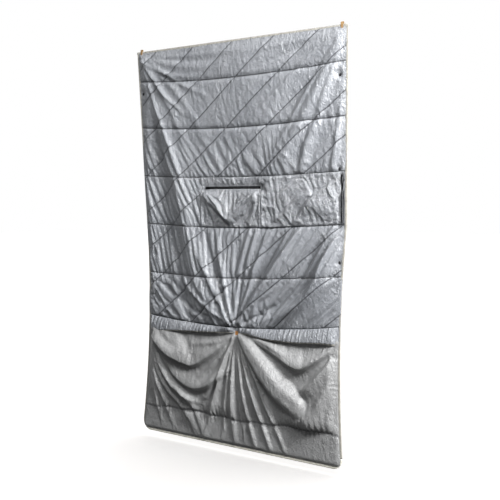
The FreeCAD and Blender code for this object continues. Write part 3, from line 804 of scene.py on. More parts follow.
def build_body():
    """The face, the back and the fill. Gives the face as a surface, and the back's points."""
    x, drop, nominal, front = quilt_surface()
    face = finish_piece(thick_sheet("quilt_face", front, CLOTH, SHELL), "shell_cloth", "face_shell")
    declare_quilted(face, x, drop, nominal)
    behind = front.copy()
    inside = smooth((edge_distance(x, drop) - 0.012) / 0.03) * (1 - near_hardware(x, drop))
    clear = soften(spread(front[..., 1], 2), 3) + 0.0040
    behind[..., 1] = clear + 0.0075 * puff(x, drop, nominal)
    behind[..., 1] = np.clip(behind[..., 1], BACK_NEAR, BACK_FAR) - BACK_NEAR
    behind[..., 1] = BACK_NEAR + behind[..., 1] * inside
    behind[..., 1] = np.maximum(behind[..., 1], front[..., 1] + FILL_SPACE)
    inner = behind.copy()
    inner[..., 1] -= CLOTH
    back = finish_piece(close_layers("quilt_back", inner, behind, BACK), "back_cloth", "back_shell")
    declare_quilted(back, x, drop, nominal)
    build_fill(front, inner)
    return Surface(front, np.linspace(0, 1, x.shape[1]), quilt_levels()), behind


def build_fill(front, inner):
    """The fill between the two cloths, clear of both of them."""
    near = front - grid_normals(front) * (CLOTH + CLEARANCE)
    far = inner.copy()
    far[..., 1] -= CLEARANCE
    near[..., 1] = np.minimum(near[..., 1], far[..., 1] - 0.0003)
    inside = slice(2, -2)
    fill = close_layers("quilt_fill", near[inside, inside], far[inside, inside], FILL)
    finish_piece(fill, "fill", "batting")


# ---- stitches -----------------------------------------------------------------------------

def along_run(values, run, field):
    """A field at distances along a run."""
    return np.stack([np.interp(values, run, field[:, k]) for k in range(3)], axis=1)


def stitches(name, runs, material=None, length=0.0034, gap=0.0015, width=0.0008, height=0.0002):
    """Small raised stitches along lines on the cloth. A run is (points, normals)."""
    vertices, faces, count = [], [], 0
    pattern = np.array([(0, 1, 2), (0, 2, 3), (0, 3, 4), (0, 4, 1),
                        (5, 2, 1), (5, 3, 2), (5, 4, 3), (5, 1, 4)])
    for points, normals in runs:
        steps = np.linalg.norm(np.diff(points, axis=0), axis=1)
        run = np.concatenate([[0], np.cumsum(steps)])
        starts = np.arange(0, run[-1] - length, length + gap)
        if not len(starts):
            continue
        first, last = along_run(starts, run, points), along_run(starts + length, run, points)
        up = along_run(starts + length / 2, run, normals)
        side = np.cross(up, last - first)
        side *= width / 2 / np.maximum(np.linalg.norm(side, axis=1, keepdims=True), 1e-9)
        middle = (first + last) / 2
        six = [first - up * 0.0002, middle + side, middle + up * height, middle - side,
               middle - up * 0.0004, last - up * 0.0002]
        vertices.append(np.stack(six, axis=1).reshape(-1, 3))
        offsets = (count + 6 * np.arange(len(starts)))[:, None, None]
        faces.append((pattern[None] + offsets).reshape(-1, 3))
        count += 6 * len(starts)
    piece = new_object(name, np.concatenate(vertices), np.concatenate(faces), material or THREAD)
    return finish_piece(piece, "thread")


def seam_runs(surface):
    """Lines of the stitched rows and slants on a quilted surface. The last row is hidden."""
    runs = []
    across = np.linspace(0.018, 0.982, 400)
    for k in range(len(ROWS) - 1):
        runs.append(surface.at(across, FIRST_ROW + ROW_PITCH * k))
    levels = surface.down
    columns = np.linspace(0, 1, 241)
    x, drop, _ = grid(241, levels, inset=0.001)
    value = slant_value(x, drop)
    for number in range(SLANT_COUNT):
        line = []
        for row, level in enumerate(levels):
            here = np.interp(number, value[row], columns, left=-1, right=-1)
            free = 0.018 < here < 0.982 and 0.012 < level < MOUTH_ROW
            if free and not in_pocket(np.interp(here, columns, x[row]), level):
                line.append((here, level))
            elif len(line) > 3:
                runs.append(surface.at(*np.array(line).T))
                line = []
    return runs


def in_pocket(x, nominal):
    """Whether a place is behind one of the two pockets."""
    top, foot = POCKET_ROWS
    inside = top < nominal < foot
    return inside and (CENTRE_POCKET[0] < x < CENTRE_POCKET[1] or x > SIDE_POCKET[0])


def build_seams(front, behind):
    """The thread of the quilting, on the face and on the back."""
    stitches("face_quilting", seam_runs(front))
    back = Surface(behind, front.across, front.down)
    back.normals = -back.normals
    stitches("back_quilting", seam_runs(back))


# ---- edge tape ----------------------------------------------------------------------------

# Depth of the top edge's tape, where the side tapes start.
TOP_TAPE = 0.0121
# Half of the tape's section: distance in from the edge and out from the middle plane.
TAPE_SIDE = [(0.0124, 0.0021), (0.0122, 0.0027), (0.0100, 0.0024), (0.0070, 0.0029),
             (0.0030, 0.0028), (0.0008, 0.0021), (-0.0001, 0.0010)]


def edge_line(name, count):
    """Points of one edge of the outline and the direction into the quilt at each."""
    t = np.linspace(0, 1, count)
    if name == "top":
        x, drop = -TOP_HALF + 2 * TOP_HALF * t, 0 * t
    elif name == "bottom":
        x, drop = foot_line(t)
    else:
        drop = TOP_TAPE + (CORNER_DROP - TOP_TAPE) * t
        x = left_edge(drop) if name == "left" else right_edge(drop)
    along = np.stack([np.gradient(x), np.gradient(drop)], axis=1)
    along /= np.linalg.norm(along, axis=1, keepdims=True)
    inward = np.stack([-along[:, 1], along[:, 0]], axis=1)
    away = inward[:, 0] * -x + inward[:, 1] * (1.0 - drop) < 0
    inward[away] *= -1
    return x, drop, inward


def foot_line(t):
    """The foot edge with its two rounded corners, from left to right, by length."""
    left, right = -LEFT_SIDE["foot"], RIGHT_SIDE["foot"]
    straight = right - left - 2 * FOOT_CORNER
    turn = FOOT_CORNER * math.pi / 2
    s = t * (straight + 2 * turn)
    first = np.clip(s / FOOT_CORNER, 0, math.pi / 2)
    second = np.clip((s - turn - straight) / FOOT_CORNER, 0, math.pi / 2)
    run = np.clip(s - turn, 0, straight)
    x = left + FOOT_CORNER * (1 - np.cos(first)) + run + FOOT_CORNER * np.sin(second)
    drop = CORNER_DROP + FOOT_CORNER * np.sin(first) - FOOT_CORNER * (1 - np.cos(second))
    return x, drop


def tube(name, points, material):
    """A closed tube through rings of points, with flat ends."""
    count, around = points.shape[:2]
    i, j = np.meshgrid(np.arange(count - 1), np.arange(around), indexing="ij")
    a, b = i * around + j, i * around + (j + 1) % around
    sides = np.stack([a, b, b + around, a + around], axis=-1).reshape(-1, 4).tolist()
    ends = [list(range(around - 1, -1, -1)), [(count - 1) * around + k for k in range(around)]]
    return new_object(name, points, sides + ends, material)


def build_edges():
    """The tape that is folded over each edge, and its two lines of stitches."""
    runs = []
    for name, count in (("top", 280), ("left", 390), ("right", 390), ("bottom", 270)):
        x, drop, inward = edge_line(name, count)
        step = np.arange(count)
        profile = TAPE_SIDE + [(inset, -out) for inset, out in TAPE_SIDE[::-1]]
        rings = []
        for inset, out in profile:
            pull = 0.0004 * np.sin(step * 0.9 + 2 * np.sin(step * 0.13)) * (inset > 0.01)
            bulge = 1 + 0.05 * np.sin(step * 1.3 + 3 * np.sin(step * 0.21))
            place = inset + pull
            rings.append(np.stack([x + inward[:, 0] * place, -out * bulge,
                                   -drop - inward[:, 1] * place], axis=1))
        points = np.stack(rings, axis=1)
        if name == "bottom":
            points = points[::-1]
        tape = tube("edge_tape_" + name, points, FOOT_TAPE if name == "bottom" else TAPE)
        finish_piece(tape, "edge_tape", "binding_" + name)
        for out in (-0.0026, 0.0026):
            line = np.stack([x + inward[:, 0] * 0.0100, 0 * x + out,
                             -drop - inward[:, 1] * 0.0100], axis=1)
            normal = np.zeros_like(line)
            normal[:, 1] = np.sign(out)
            runs.append((line, normal))
    stitches("edge_stitching", runs, EDGE_THREAD)


# ---- pockets and zips ---------------------------------------------------------------------

def pocket_grid(surface, sides, slot, columns, rows):
    """x, drop and the depth of the quilt beneath for a pocket between two stitched rows.
    The grid has lines on the slot's edges, and the cells of the slot are left out."""
    left, right = sides
    xs = split_line(left, right, slot[0], slot[1], columns)
    top_row = row_drop(xs, POCKET_ROWS[0])
    foot_row = row_drop(xs, POCKET_ROWS[1])
    share = split_line(0, 1, (slot[2] - POCKET_TOP) / POCKET_DEPTH,
                       (slot[3] - POCKET_TOP) / POCKET_DEPTH, rows)
    level = POCKET_TOP + POCKET_DEPTH * share
    drop = np.empty((len(share), len(xs)))
    for k in range(len(xs)):
        drop[:, k] = np.interp(level, [level[0], slot[2], slot[3], level[-1]],
                               [top_row[k], slot[2], slot[3], foot_row[k]])
    x = np.broadcast_to(xs, drop.shape)
    under, _ = surface.at(*cloth_coordinates(x, drop))
    base = soften(spread(-under[..., 1], 1), 4)
    mid_x = (xs[:-1] + xs[1:]) / 2
    mid_level = (level[:-1] + level[1:]) / 2
    open_cell = ((mid_x > slot[0]) & (mid_x < slot[1]))[None, :]
    open_cell = open_cell & ((mid_level > slot[2]) & (mid_level < slot[3]))[:, None]
    return x, drop, base, ~open_cell


def split_line(start, end, first, second, count):
    """Evenly spaced values from start to end that include two given values."""
    step = (end - start) / count
    parts = []
    for a, b in ((start, first), (first, second), (second, end)):
        if b - a > 1e-6:
            parts.append(np.linspace(a, b, max(int(round((b - a) / step)), 1), endpoint=False))
    return np.concatenate(parts + [[end]])


def build_pocket(label, surface, sides, slot, size, out, shape, growth):
    """A zipped patch pocket: its lining and its panel with a slot. Gives the panel's surface."""
    x, drop, base, keep = pocket_grid(surface, sides, slot, *size)
    edge = np.minimum(np.minimum(x - sides[0], sides[1] - x),
                      np.minimum(drop - drop[:1], drop[-1:] - drop))
    lining = as_points(x, drop, base + 0.0011)
    piece = thick_sheet(label + "_pocket_inside", lining, 0.0005, LINING)
    finish_piece(piece, "lining_cloth", label + "_pocket_lining")
    from_slot = np.hypot(np.maximum(np.maximum(slot[0] - x, x - slot[1]), 0),
                         np.maximum(np.maximum(slot[2] - drop, drop - slot[3]), 0))
    at_slot = 1 - smooth((from_slot - 0.003) / 0.016)
    sewn = smooth(edge / 0.012)
    depth = base + 0.0016 + 0.0026 * sewn + shape(x, drop) * smooth(edge / 0.03) * (1 - at_slot)
    depth = depth + (out - depth) * at_slot
    front = as_points(x, drop, depth)
    hold = highest(0.03, 1 - smooth((edge - 0.001) / 0.006),
                   1 - smooth((from_slot - 0.001) / 0.010), near_hardware(x, drop))
    start = roughened(front, x, drop, hold)
    front = drape(label, start, larger(start, *growth), hold, 0.1, 0.010)
    front[..., 1] = np.minimum(front[..., 1], -(base + 0.0020 + 0.0012 * sewn))
    piece = finish_piece(thick_sheet(label + "_pocket", front, 0.0006, POCKET, keep),
                         "pocket_cloth", label + "_pocket_panel")
    return Surface(front, x[0], np.linspace(0, 1, len(drop)))


def pocket_runs(panel):
    """Lines of stitching just inside the upper, lower and left edges of a pocket's panel."""
    left, right = panel.across[0] + 0.004, panel.across[-1] - 0.004
    u = np.linspace(left, right, 160)
    v = np.linspace(0.02, 0.98, 120)
    return [panel.at(u, 0.015), panel.at(u, 0.985), panel.at(left, v)]


# Folds of the middle pocket: x on the zip, bend, foot and height of each, in millimetres.
BELLY_FOLDS = (
    (-178, (-100, 800), (-20, 880), 14), (-165, (-70, 785), (-10, 845), 6),
    (-180, (-150, 820), (-110, 895), 6), (184, (100, 800), (-10, 885), 14),
    (170, (80, 785), (10, 850), 6), (186, (160, 830), (120, 900), 7),
)
# Folds of the side pocket, as in the other fold tables.
SLANT_FOLDS = (
    ([(400, 905), (500, 800), (600, 735), (670, 690)], (4, 16, 15, 3), (16, 18), (44, 60)),
    ([(225, 840), (340, 755), (455, 680)], (3, 10, 2), (16, 18), (30, 44)),
    ([(250, 905), (350, 850), (430, 780), (500, 760)], (2, 8, 8, 2), (14, 16), (22, 26)),
)


def belly(x, drop):
    """The slack of the middle pocket, drawn up to both ends of its zip."""
    total = 0
    under, over = (14, 20), (8, 11)
    for end, bend, foot, height in BELLY_FOLDS:
        widths = (under, over) if end < 0 else (over, under)
        total = total + fold(x, drop, [(end, 740), bend, foot], (3, height, height / 2), *widths)
    brim = 0.748 + 0.138 * (1 - np.minimum(np.abs(x) / 0.188, 1) ** 1.15)
    hang = (drop - 0.742) / np.maximum(brim - 0.742, 0.004)
    inside = np.clip(hang, 0, 1)
    outside = 1 - smooth((drop - brim) / 0.040)
    return total + 0.021 * inside * outside * smooth((0.192 - np.abs(x)) / 0.03)


def slant_drape(x, drop):
    """Slack folds of the side pocket, which rise towards the top of its zip."""
    folds = sum(fold(x, drop, *entry) for entry in SLANT_FOLDS)
    bulge = 0.013 * np.exp(-(np.hypot((x - 0.58) / 0.10, (drop - 0.83) / 0.05)) ** 2)
    pleats = 0.0025 * np.sin(2 * math.pi * drop / 0.045) * np.exp(-(x - 0.2) / 0.03)
    return (folds + bulge + pleats) * (1 - near_hardware(x, drop))


def zip_strip(name, place, along, across, length, sides, out, node):
    """One woven zip tape: a strip between two distances sideways from the zip's line."""
    s = np.linspace(ZIP_START, ZIP_START + length, 160)
    w = np.linspace(sides[0], sides[1], 6)
    ss, ww = np.meshgrid(s, w)
    rib = 0.00008 * np.sin(2 * math.pi * ss / 0.004)
    rib = rib * np.sin(math.pi * (ww - w[0]) / (w[-1] - w[0]))
    points = place + ss[..., None] * along + ww[..., None] * across
    points[..., 1] = -(out + rib)
    back = points.copy()
    back[..., 1] += ZIP_THICKNESS
    if np.cross(along, across)[1] < 0:
        points, back = points[::-1], back[::-1]
    return finish_piece(close_layers(name, points, back, ZIP_TAPE), "zip_tape", node)


def zip_teeth(name, place, along, across, length, low, high, node):
    """Two interlocked rows of coil turns, each a small bead that lies across the zip."""
    pitch, around = 0.0016, 6
    angle = np.arange(around) * 2 * math.pi / around
    middle, half = (low + high) / 2, (high - low) / 2
    points, faces = [], []
    for side in (-1, 1):
        for k in range(int(length / pitch)):
            base = len(points) * around
            s = -0.005 + (k + (0.5 if side > 0 else 0)) * pitch
            for w, grow in ((0.0004, 0.7), (0.0015, 1.0), (0.0026, 0.8)):
                centre = place + s * along + side * (w - 0.0010) * across
                ring = centre + np.outer(np.cos(angle) * 0.0007 * grow, along)
                ring[:, 1] = -(middle + np.sin(angle) * half * grow)
                points.append(ring)
            bead = []
            for r in range(2):
                for j in range(around):
                    a, b = base + r * around + j, base + r * around + (j + 1) % around
                    bead.append([a, b, b + around, a + around])
            bead.append([base + j for j in range(around - 1, -1, -1)])
            bead.append([base + 2 * around + j for j in range(around)])
            faces.extend(bead if side > 0 else [face[::-1] for face in bead])
    return finish_piece(new_object(name, np.concatenate(points), faces, COIL), "zip_coil", node)


def build_zip(label, place, along, across, length, out, tapes):
    """A zip: a tape on each side of its coils, from a place in a direction."""
    place, along, across = np.array(place), np.array(along), np.array(across)
    for tape, sides in zip(tapes, ((0.0007, 0.0076), (-0.0076, -0.0007))):
        zip_strip("%s_zip_%s_tape" % (label, tape), place, along, across, length + 0.014, sides,
                  out, "%s_zip_tape_%s" % (label, tape))
    zip_teeth(label + "_zip_teeth", place, along, across, length, out, out + 0.0021,
              label + "_zip_coils")


def build_pockets(surface):
    """Both pockets, their stitching and their zips."""
    centre = build_pocket("centre", surface, CENTRE_POCKET, CENTRE_SLOT, (84, 52), 0.0131, belly,
                          (0.045, 0.02))
    side = build_pocket("side", surface, SIDE_POCKET, SIDE_SLOT, (100, 52), 0.0061, slant_drape,
                        (0.035, 0.045))
    stitches("pocket_stitching", pocket_runs(centre) + pocket_runs(side))
    build_zip("centre", (-0.172, 0.0, -CENTRE_ZIP_DROP), (1.0, 0, 0), (0, 0, 1.0), 0.360, 0.0123,
              ("upper", "lower"))
    build_zip("side", (SIDE_ZIP_X, 0.0, -0.682), (0, 0, -1.0), (1.0, 0, 0), 0.216, 0.0053,
              ("outer", "inner"))


# ---- hardware -----------------------------------------------------------------------------

def finish_node(node, material):
    """Gives a CAD piece that stays in view its detailed material."""
    for slot in bpy.data.objects[node].material_slots:
        slot.material = material


def ribbon(name, path, width, material, slot, node):
    """Webbing: a flat strip swept along a path in the Y-Z plane, with rounded edges."""
    path = np.asarray(path, float)
    along = np.gradient(path, axis=0)
    along /= np.linalg.norm(along, axis=1, keepdims=True)
    over = np.stack([0 * along[:, 0], -along[:, 2], along[:, 1]], axis=1)
    step = np.arange(len(path))
    half_w, half_t = width / 2, WEBBING / 2
    profile = [(-1, 0.5), (-0.93, 1), (-0.4, 0.9), (0, 1), (0.4, 0.9), (0.93, 1), (1, 0.5),
               (1, -0.5), (0.93, -1), (0.4, -0.9), (0, -1), (-0.4, -0.9), (-0.93, -1), (-1, -0.5)]
    rings = []
    for w, t in profile:
        rib = 1 + 0.12 * np.cos(step * math.pi)
        raised = (t * half_t * rib)[:, None] if abs(t) == 1 else t * half_t
        rings.append(path + over * raised + np.array([w * half_w, 0, 0]))
    return finish_piece(tube(name, np.stack(rings, axis=1), material), slot, node)


def loop_path(top, foot, reach):
    """Up the front, over the top edge, and down the back."""
    centre = top - reach
    up = [(-reach, z) for z in np.linspace(foot, centre, 22)]
    angle = np.linspace(0, math.pi, 14)[1:-1]
    over = [(-reach * math.cos(a), centre + reach * math.sin(a)) for a in angle]
    down = [(reach, z) for z in np.linspace(centre, foot, 22)]
    return up + over + down


def build_loops():
    """The two hanging loops on the top edge."""
    for label, centre in (("left", -LOOP_X), ("right", LOOP_X)):
        path = [(centre, y, z) for y, z in loop_path(0.0114, -0.022, 0.0037)]
        ribbon("hang_webbing_" + label, path, 0.014, LOOP, "loop_tape",
               "hang_loop_" + label)


def build_tab():
    """The folded tab that gathers the mouth of the foot pocket."""
    down = [(TAB[0], -0.0119, z) for z in np.linspace(-1.4402, -1.4655, 18)]
    angle = np.linspace(0, math.pi, 9)[1:]
    fold_back = [(TAB[0], -0.0105 - 0.0014 * math.cos(a), -1.4655 - 0.0014 * math.sin(a))
                 for a in angle]
    back = [(TAB[0], -0.0091, z) for z in np.linspace(-1.4650, -1.4610, 4)]
    ribbon("foot_tab_webbing", down + fold_back + back, 0.020, TAB_TAPE, "tab_tape",
           "foot_tab")


def build_bartacks(surface):
    """Dense bars of thread over the loops' ends, the tab and the pockets' corners."""
    runs = []
    for centre in (-LOOP_X, LOOP_X):
        for side in (-1, 1):
            for x in np.linspace(centre - 0.0056, centre + 0.0056, 13):
                z = np.linspace(-0.0185, -0.0212, 3)
                runs.append(bar_line(x, side * 0.0043, z))
    for x in np.linspace(TAB[0] - 0.0070, TAB[0] + 0.0070, 15):
        runs.append(bar_line(x, -0.0125, np.linspace(-1.4435, -1.4462, 3)))
    for sides in (CENTRE_POCKET, SIDE_POCKET):
        for row in POCKET_ROWS:
            for x in np.linspace(sides[0] + 0.001, sides[0] + 0.011, 11):
                across, level = cloth_coordinates(x, row_drop(x, row))
                points, normals = surface.at(across, level + np.linspace(-0.0016, 0.0016, 3))
                runs.append((points + normals * 0.0025, normals))
    piece = stitches("bar_tacks", runs, length=0.0025, gap=0.0004, width=0.0011, height=0.0006)
    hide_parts("bartacks")


def bar_line(x, y, z):
    """A short upright line of thread on a flat place."""
    points = np.stack([x + 0 * z, y + 0 * z, z], axis=1)
    normals = np.zeros_like(points)
    normals[:, 1] = np.sign(y)
    return points, normals


def build_hardware():
    """The snaps and the metal of the zips keep their CAD shapes."""
    for node in ("snap_caps_left", "snap_studs_right", "snap_sockets_left", "snap_backs_right"):
        finish_node(node, SNAP)
    for label in ("centre", "side"):
        for part in ("stops", "slider", "pull"):
            finish_node("%s_zip_%s" % (label, part), METAL)


# ---- foot pocket --------------------------------------------------------------------------

FOOT_FOLDS = (
    # upper left swag, slung from the left corner to the tab
    ([(-600, 1465), (-520, 1530), (-410, 1595), (-300, 1628), (-232, 1630), (-110, 1560),
     (12, 1462)], (12, 46, 52, 40, 34, 24, 4), (40, 80, 95, 80, 50, 16), (10, 12, 12, 12, 10, 8)),
    ([(-360, 1455), (-300, 1540), (-242, 1610)], (-4, -12, -4), (20, 26)),
    ([(4, 1470), (-120, 1510), (-270, 1530)], (4, 12, 2), (10, 16)),
    ([(6, 1480), (-110, 1610), (-200, 1690)], (4, 12, 4), (10, 16)),
    ([(-520, 1470), (-440, 1530), (-340, 1560)], (-6, -12, -2), (14, 20)),
    # lower left swag
    ([(-480, 1610), (-380, 1700), (-290, 1745), (-205, 1748), (-90, 1690), (14, 1480)],
     (8, 26, 28, 28, 20, 4), (30, 55, 60, 40, 12), (10, 12, 12, 10, 8)),
    ([(-400, 1740), (-320, 1800), (-220, 1830)], (3, 14, 6), (16, 22), (10, 12)),
    ([(-20, 1655), (-100, 1705), (-165, 1790)], (10, 22, 10), (10, 12), (40, 30)),
    # long folds from the left corner down
    ([(-590, 1490), (-500, 1660), (-400, 1765), (-270, 1840), (-200, 1990)], (6, 22, 26, 20, 6),
     (18, 24, 30), (10, 14)),
    ([(-596, 1500), (-530, 1680), (-450, 1790), (-340, 1880), (-300, 1990)], (3, 12, 14, 12, 4),
     (10, 13), (8, 10)),
    ([(-600, 1520), (-550, 1700), (-490, 1830), (-410, 1990)], (4, 17, 16, 4), (14, 20), (9, 14)),
    ([(-605, 1550), (-575, 1720), (-540, 1860), (-500, 1990)], (3, 13, 12, 3), (10, 16), (8, 10)),
    ([(-550, 1500), (-470, 1640), (-360, 1730)], (3, 10, 3), (9, 12)),
    ([(-350, 1850), (-300, 1905), (-255, 1990)], (6, 24, 6), (40, 40), (14, 16)),
    # the fan of pleats below the tab
    ([(16, 1460), (-55, 1660), (-100, 1770), (-150, 1900), (-200, 2010)], (4, 24, 20, 12, 4),
     (9, 26), (7, 12)),
    ([(20, 1460), (-12, 1680), (-45, 1880), (-70, 2010)], (4, 17, 10, 3), (7, 12), (10, 20)),
    ([(26, 1460), (20, 1680), (10, 1880), (20, 2010)], (4, 26, 20, 6), (9, 22), (7, 10)),
    ([(31, 1460), (54, 1680), (70, 1880), (90, 2010)], (4, 14, 8, 3), (7, 10), (7, 12)),
    ([(34, 1460), (83, 1680), (120, 1880), (160, 2010)], (4, 25, 18, 6), (8, 12), (10, 24)),
    ([(40, 1460), (132, 1680), (205, 1880), (260, 2010)], (4, 28, 20, 6), (8, 12), (10, 24)),
    ([(44, 1460), (165, 1650), (270, 1850), (350, 2010)], (4, 20, 18, 5), (8, 12), (10, 20)),
    # upper right swag
    ([(60, 1446), (280, 1520), (431, 1578), (520, 1545), (648, 1462)], (6, 24, 34, 28, 6),
     (16, 40, 50, 30, 14), (10, 14, 16, 14, 10)),
    ([(100, 1446), (260, 1490), (380, 1530)], (3, 12, 2), (10, 12)),
    # folds from the right corner down
    ([(645, 1475), (600, 1560), (500, 1665), (440, 1690)], (5, 26, 30, 8), (30, 50), (14, 20)),
    ([(650, 1490), (625, 1600), (560, 1740), (500, 1810)], (4, 18, 26, 16), (24, 50), (16, 34)),
    ([(652, 1540), (640, 1680), (605, 1820)], (3, 14, 8), (14, 22)),
)
# The broad flap that crosses the fan to the lower right, flat on top and steep at its sides.
FOOT_FLAP = ([(50, 1458), (125, 1520), (230, 1618), (330, 1700), (425, 1752)],
             (10, 34, 50, 54, 40), (14, 40, 56, 60, 50), (10, 34, 50, 56, 50))


def wander(x):
    """How far the slack panel's last stitched row strays from its level."""
    return 0.006 * np.sin(9 * x + 1) + 0.003 * np.sin(31 * x)


def foot_depth(x, drop):
    """Hanging shape of the slack panel across the foot end."""
    edge = side_distance(x, drop)
    sides = smooth((edge - 0.02) / 0.10)
    from_tab = np.hypot(x - TAB[0], (drop - TAB[1]) / 1.2)
    seam_row = row_drop(x, FOOT_ROW)
    hollow = smooth((drop - 1.42) / 0.16) * (1 - smooth((drop - 1.74) / 0.15))
    depth = 0.009 + 0.014 * sides * hollow * smooth(from_tab / 0.12)
    for entry in FOOT_FOLDS:
        depth = depth + fold(x, drop, *entry)
    flap = fold(x, drop, *FOOT_FLAP, power=4)
    on_flap = smooth(flap / 0.006)
    depth = np.maximum(depth, 0.020 + flap) * on_flap + depth * (1 - on_flap)
    slump = 1.4 * np.exp(-(np.hypot((x - 0.47) / 0.13, (drop - 1.830) / 0.050)) ** 2)
    slump += 0.5 * np.exp(-(np.hypot((x + 0.12) / 0.16, (drop - 1.835) / 0.045)) ** 2)
    depth = depth + 0.022 * slump * smooth((seam_row - drop) / 0.014)
    uneven_row = seam_row + wander(x)
    pinch = np.exp(-(np.abs(drop - uneven_row) / 0.010) ** 1.5)
    depth = depth - (depth - 0.0085) * 0.45 * pinch
    under_hem = 1 - smooth((drop - FOOT_MOUTH) / 0.045)
    depth = depth * (1 - under_hem) + 0.0075 * under_hem
    foot = smooth((LENGTH - 0.012 - drop) / 0.03)
    rim = smooth((edge - 0.014) / 0.04)
    depth = np.maximum(depth, 0.0080)
    depth = 0.0033 + (depth - 0.0033) * foot * rim
    for sx, sd in zip(LEFT_SNAPS[3:] + RIGHT_SNAPS[3:], SNAP_DROPS[3:] * 2):
        near = np.exp(-(np.hypot(x - sx, drop - sd) / 0.024) ** 4)
        depth = depth + (0.0032 - depth) * near
    return np.minimum(depth, 0.086)


def build_foot_pocket():
    """The slack panel of the foot pocket, gathered at the tab, and its last row of stitches."""
    columns, rows = ((251, 117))
    x, drop, nominal = grid(columns, np.linspace(FOOT_MOUTH, LENGTH, rows), inset=0.0135)
    depth = foot_depth(x, drop)
    front = as_points(x, drop, depth)
    seam_row = row_drop(x, FOOT_ROW)
    edge = side_distance(x, drop)
    tab_near = np.hypot(x - TAB[0], drop - TAB[1])
    hold = highest(0.10, 0.95 * np.exp(-((drop - seam_row) / 0.006) ** 2),
                   1 - smooth((edge - 0.016) / 0.012), 1 - smooth((drop - 1.44) / 0.015),
                   smooth((drop - 2.00) / 0.01), 1 - smooth((tab_near - 0.012) / 0.02))
    start = roughened(front, x, drop, hold)
    front = drape("foot", start, larger(start, 0.04, 0.035), hold, 0.1, 0.014)
    ripple = np.sin(2 * math.pi * x / 0.022 + 2.3 * np.sin(17 * x) + 3 * np.sin(5 * x))
    ripple *= np.exp(-np.abs(drop - seam_row) / 0.028) * (1 + 0.8 * np.sin(13 * x + 2))
    side = np.sin(2 * math.pi * drop / 0.027 + 4 * np.sin(15 * drop) + 30 * edge)
    side *= np.exp(-edge / 0.026) * (1 + np.sin(43 * drop))
    height = (0.0036 * ripple + 0.0015 * side) * smooth((edge - 0.018) / 0.01)
    front = front + grid_normals(front) * (height * smooth((2.0 - drop) / 0.02))[..., None]
    front[..., 1] = np.minimum(front[..., 1], -0.0078 * smooth((edge - 0.016) / 0.02)
                               * smooth((2.016 - drop) / 0.02) - 0.0030)
    front[..., 1] = np.maximum(front[..., 1], -0.0930)
    piece = finish_piece(thick_sheet("foot_pocket", front, CLOTH, FOOT), "foot_cloth",
                         "foot_pocket_panel")
    # The row value lays the thread and the painted seam shade along the wandering last row; the
    # slant value of one half keeps the slant band away.
    from_row = drop - seam_row - wander(x)
    mark_seams(piece, 0.45 * from_row / ROW_PITCH, np.full(x.shape, 0.5))
    panel = Surface(front, np.linspace(0, 1, columns), nominal[:, 0])
    across = np.linspace(0.02, 0.98, 300)
    strayed = FOOT_ROW + wander(np.interp(across, panel.across, x[-20]))
    stitches("foot_seam_stitching", [panel.at(across, strayed)])


# Lower edge of the hem across the foot pocket's mouth: x, and the drop at each.
HEM_FOOT = ((-0.62, -0.51, -0.36, -0.23, -0.05, 0.03, 0.11, 0.19, 0.26, 0.42, 0.56, 0.65),
            (1.476, 1.476, 1.466, 1.460, 1.450, 1.447, 1.447, 1.456, 1.461, 1.460, 1.450, 1.452))


def build_mouth_hem():
    """The padded hem over the mouth, gathered under the tab."""
    u, v = np.linspace(0, 1, 400), np.linspace(0, 1, 15)
    low = left_edge(1.42) + 0.013
    high = right_edge(1.42) - 0.013
    x = low + (high - low) * u
    top = row_drop(x, MOUTH_ROW) + 0.001
    foot = np.interp(x, *HEM_FOOT)
    vv, xx = np.meshgrid(v, x, indexing="ij")
    drop = top[None, :] + (foot - top)[None, :] * vv
    edge = np.minimum(xx - low, high - xx)
    from_tab = np.abs(xx - TAB[0])
    lobe = smooth(edge / 0.12) * smooth(from_tab / 0.16)
    body, _ = body_depth(xx, np.minimum(drop, FOLDS_END), drop)
    base = np.maximum(body, 0.004) * (1 - vv) + 0.012 * vv
    pinch = 1 - np.exp(-(from_tab / 0.05) ** 2)
    swell = np.sin(math.pi * np.clip(vv * 0.93 + 0.03, 0, 1)) ** 0.6
    sway = 2.2 * np.sin(13 * xx) + 3.1 * np.sin(5 * xx + 1) + 1.6 * np.sin(29 * xx) + 2.2 * vv
    ripple = np.sin(2 * math.pi * xx / 0.026 + sway) * (1 + 0.6 * np.sin(21 * xx))
    ripple += 0.6 * np.sin(2 * math.pi * xx / 0.015 + 3.1 * np.sin(9 * xx))
    out = base + 0.003 + (0.006 + 0.010 * lobe * vv) * pinch
    out = out + 0.006 * swell * pinch + 0.0018 * ripple * (1 - 0.6 * vv) * smooth(edge / 0.02)
    out = np.minimum(out, 0.0105 + 0.05 * pinch)
    out = 0.0045 + (out - 0.0045) * smooth(edge / 0.03)
    inner = np.maximum(out - 0.004 - 0.006 * swell * pinch, 0.0042)
    front = as_points(xx, drop, out)
    back = as_points(xx, drop, inner)
    piece = finish_piece(close_layers("foot_pocket_hem", front, back, HEM), "shell_cloth",
                         "foot_pocket_mouth_hem")
    rim_line = (front[-1] + back[-1]) / 2
    rim_line[:, 2] -= 0.0012
    rolled_edge("foot_pocket_hem_edge", rim_line[2:-2], 0.0016, FOOT_TAPE)
    upper = Surface(front, u, v)
    stitches("foot_hem_stitching", [upper.at(np.linspace(0.01, 0.99, 300), 0.06)])


def rolled_edge(name, line, radius, material):
    """A thin rolled edge that follows a line of points."""
    tangent = np.gradient(line, axis=0)
    tangent /= np.linalg.norm(tangent, axis=1, keepdims=True)
    side = np.cross(tangent, np.array([0.0, -1.0, 0.0]))
    side /= np.linalg.norm(side, axis=1, keepdims=True)
    over = np.cross(side, tangent)
    rings = []
    for angle in np.arange(8) * math.pi / 4:
        rings.append(line + radius * (math.cos(angle) * side + math.sin(angle) * over))
    return finish_piece(tube(name, np.stack(rings, axis=1), material), "edge_tape")


# ---- camera, light, stage -----------------------------------------------------------------

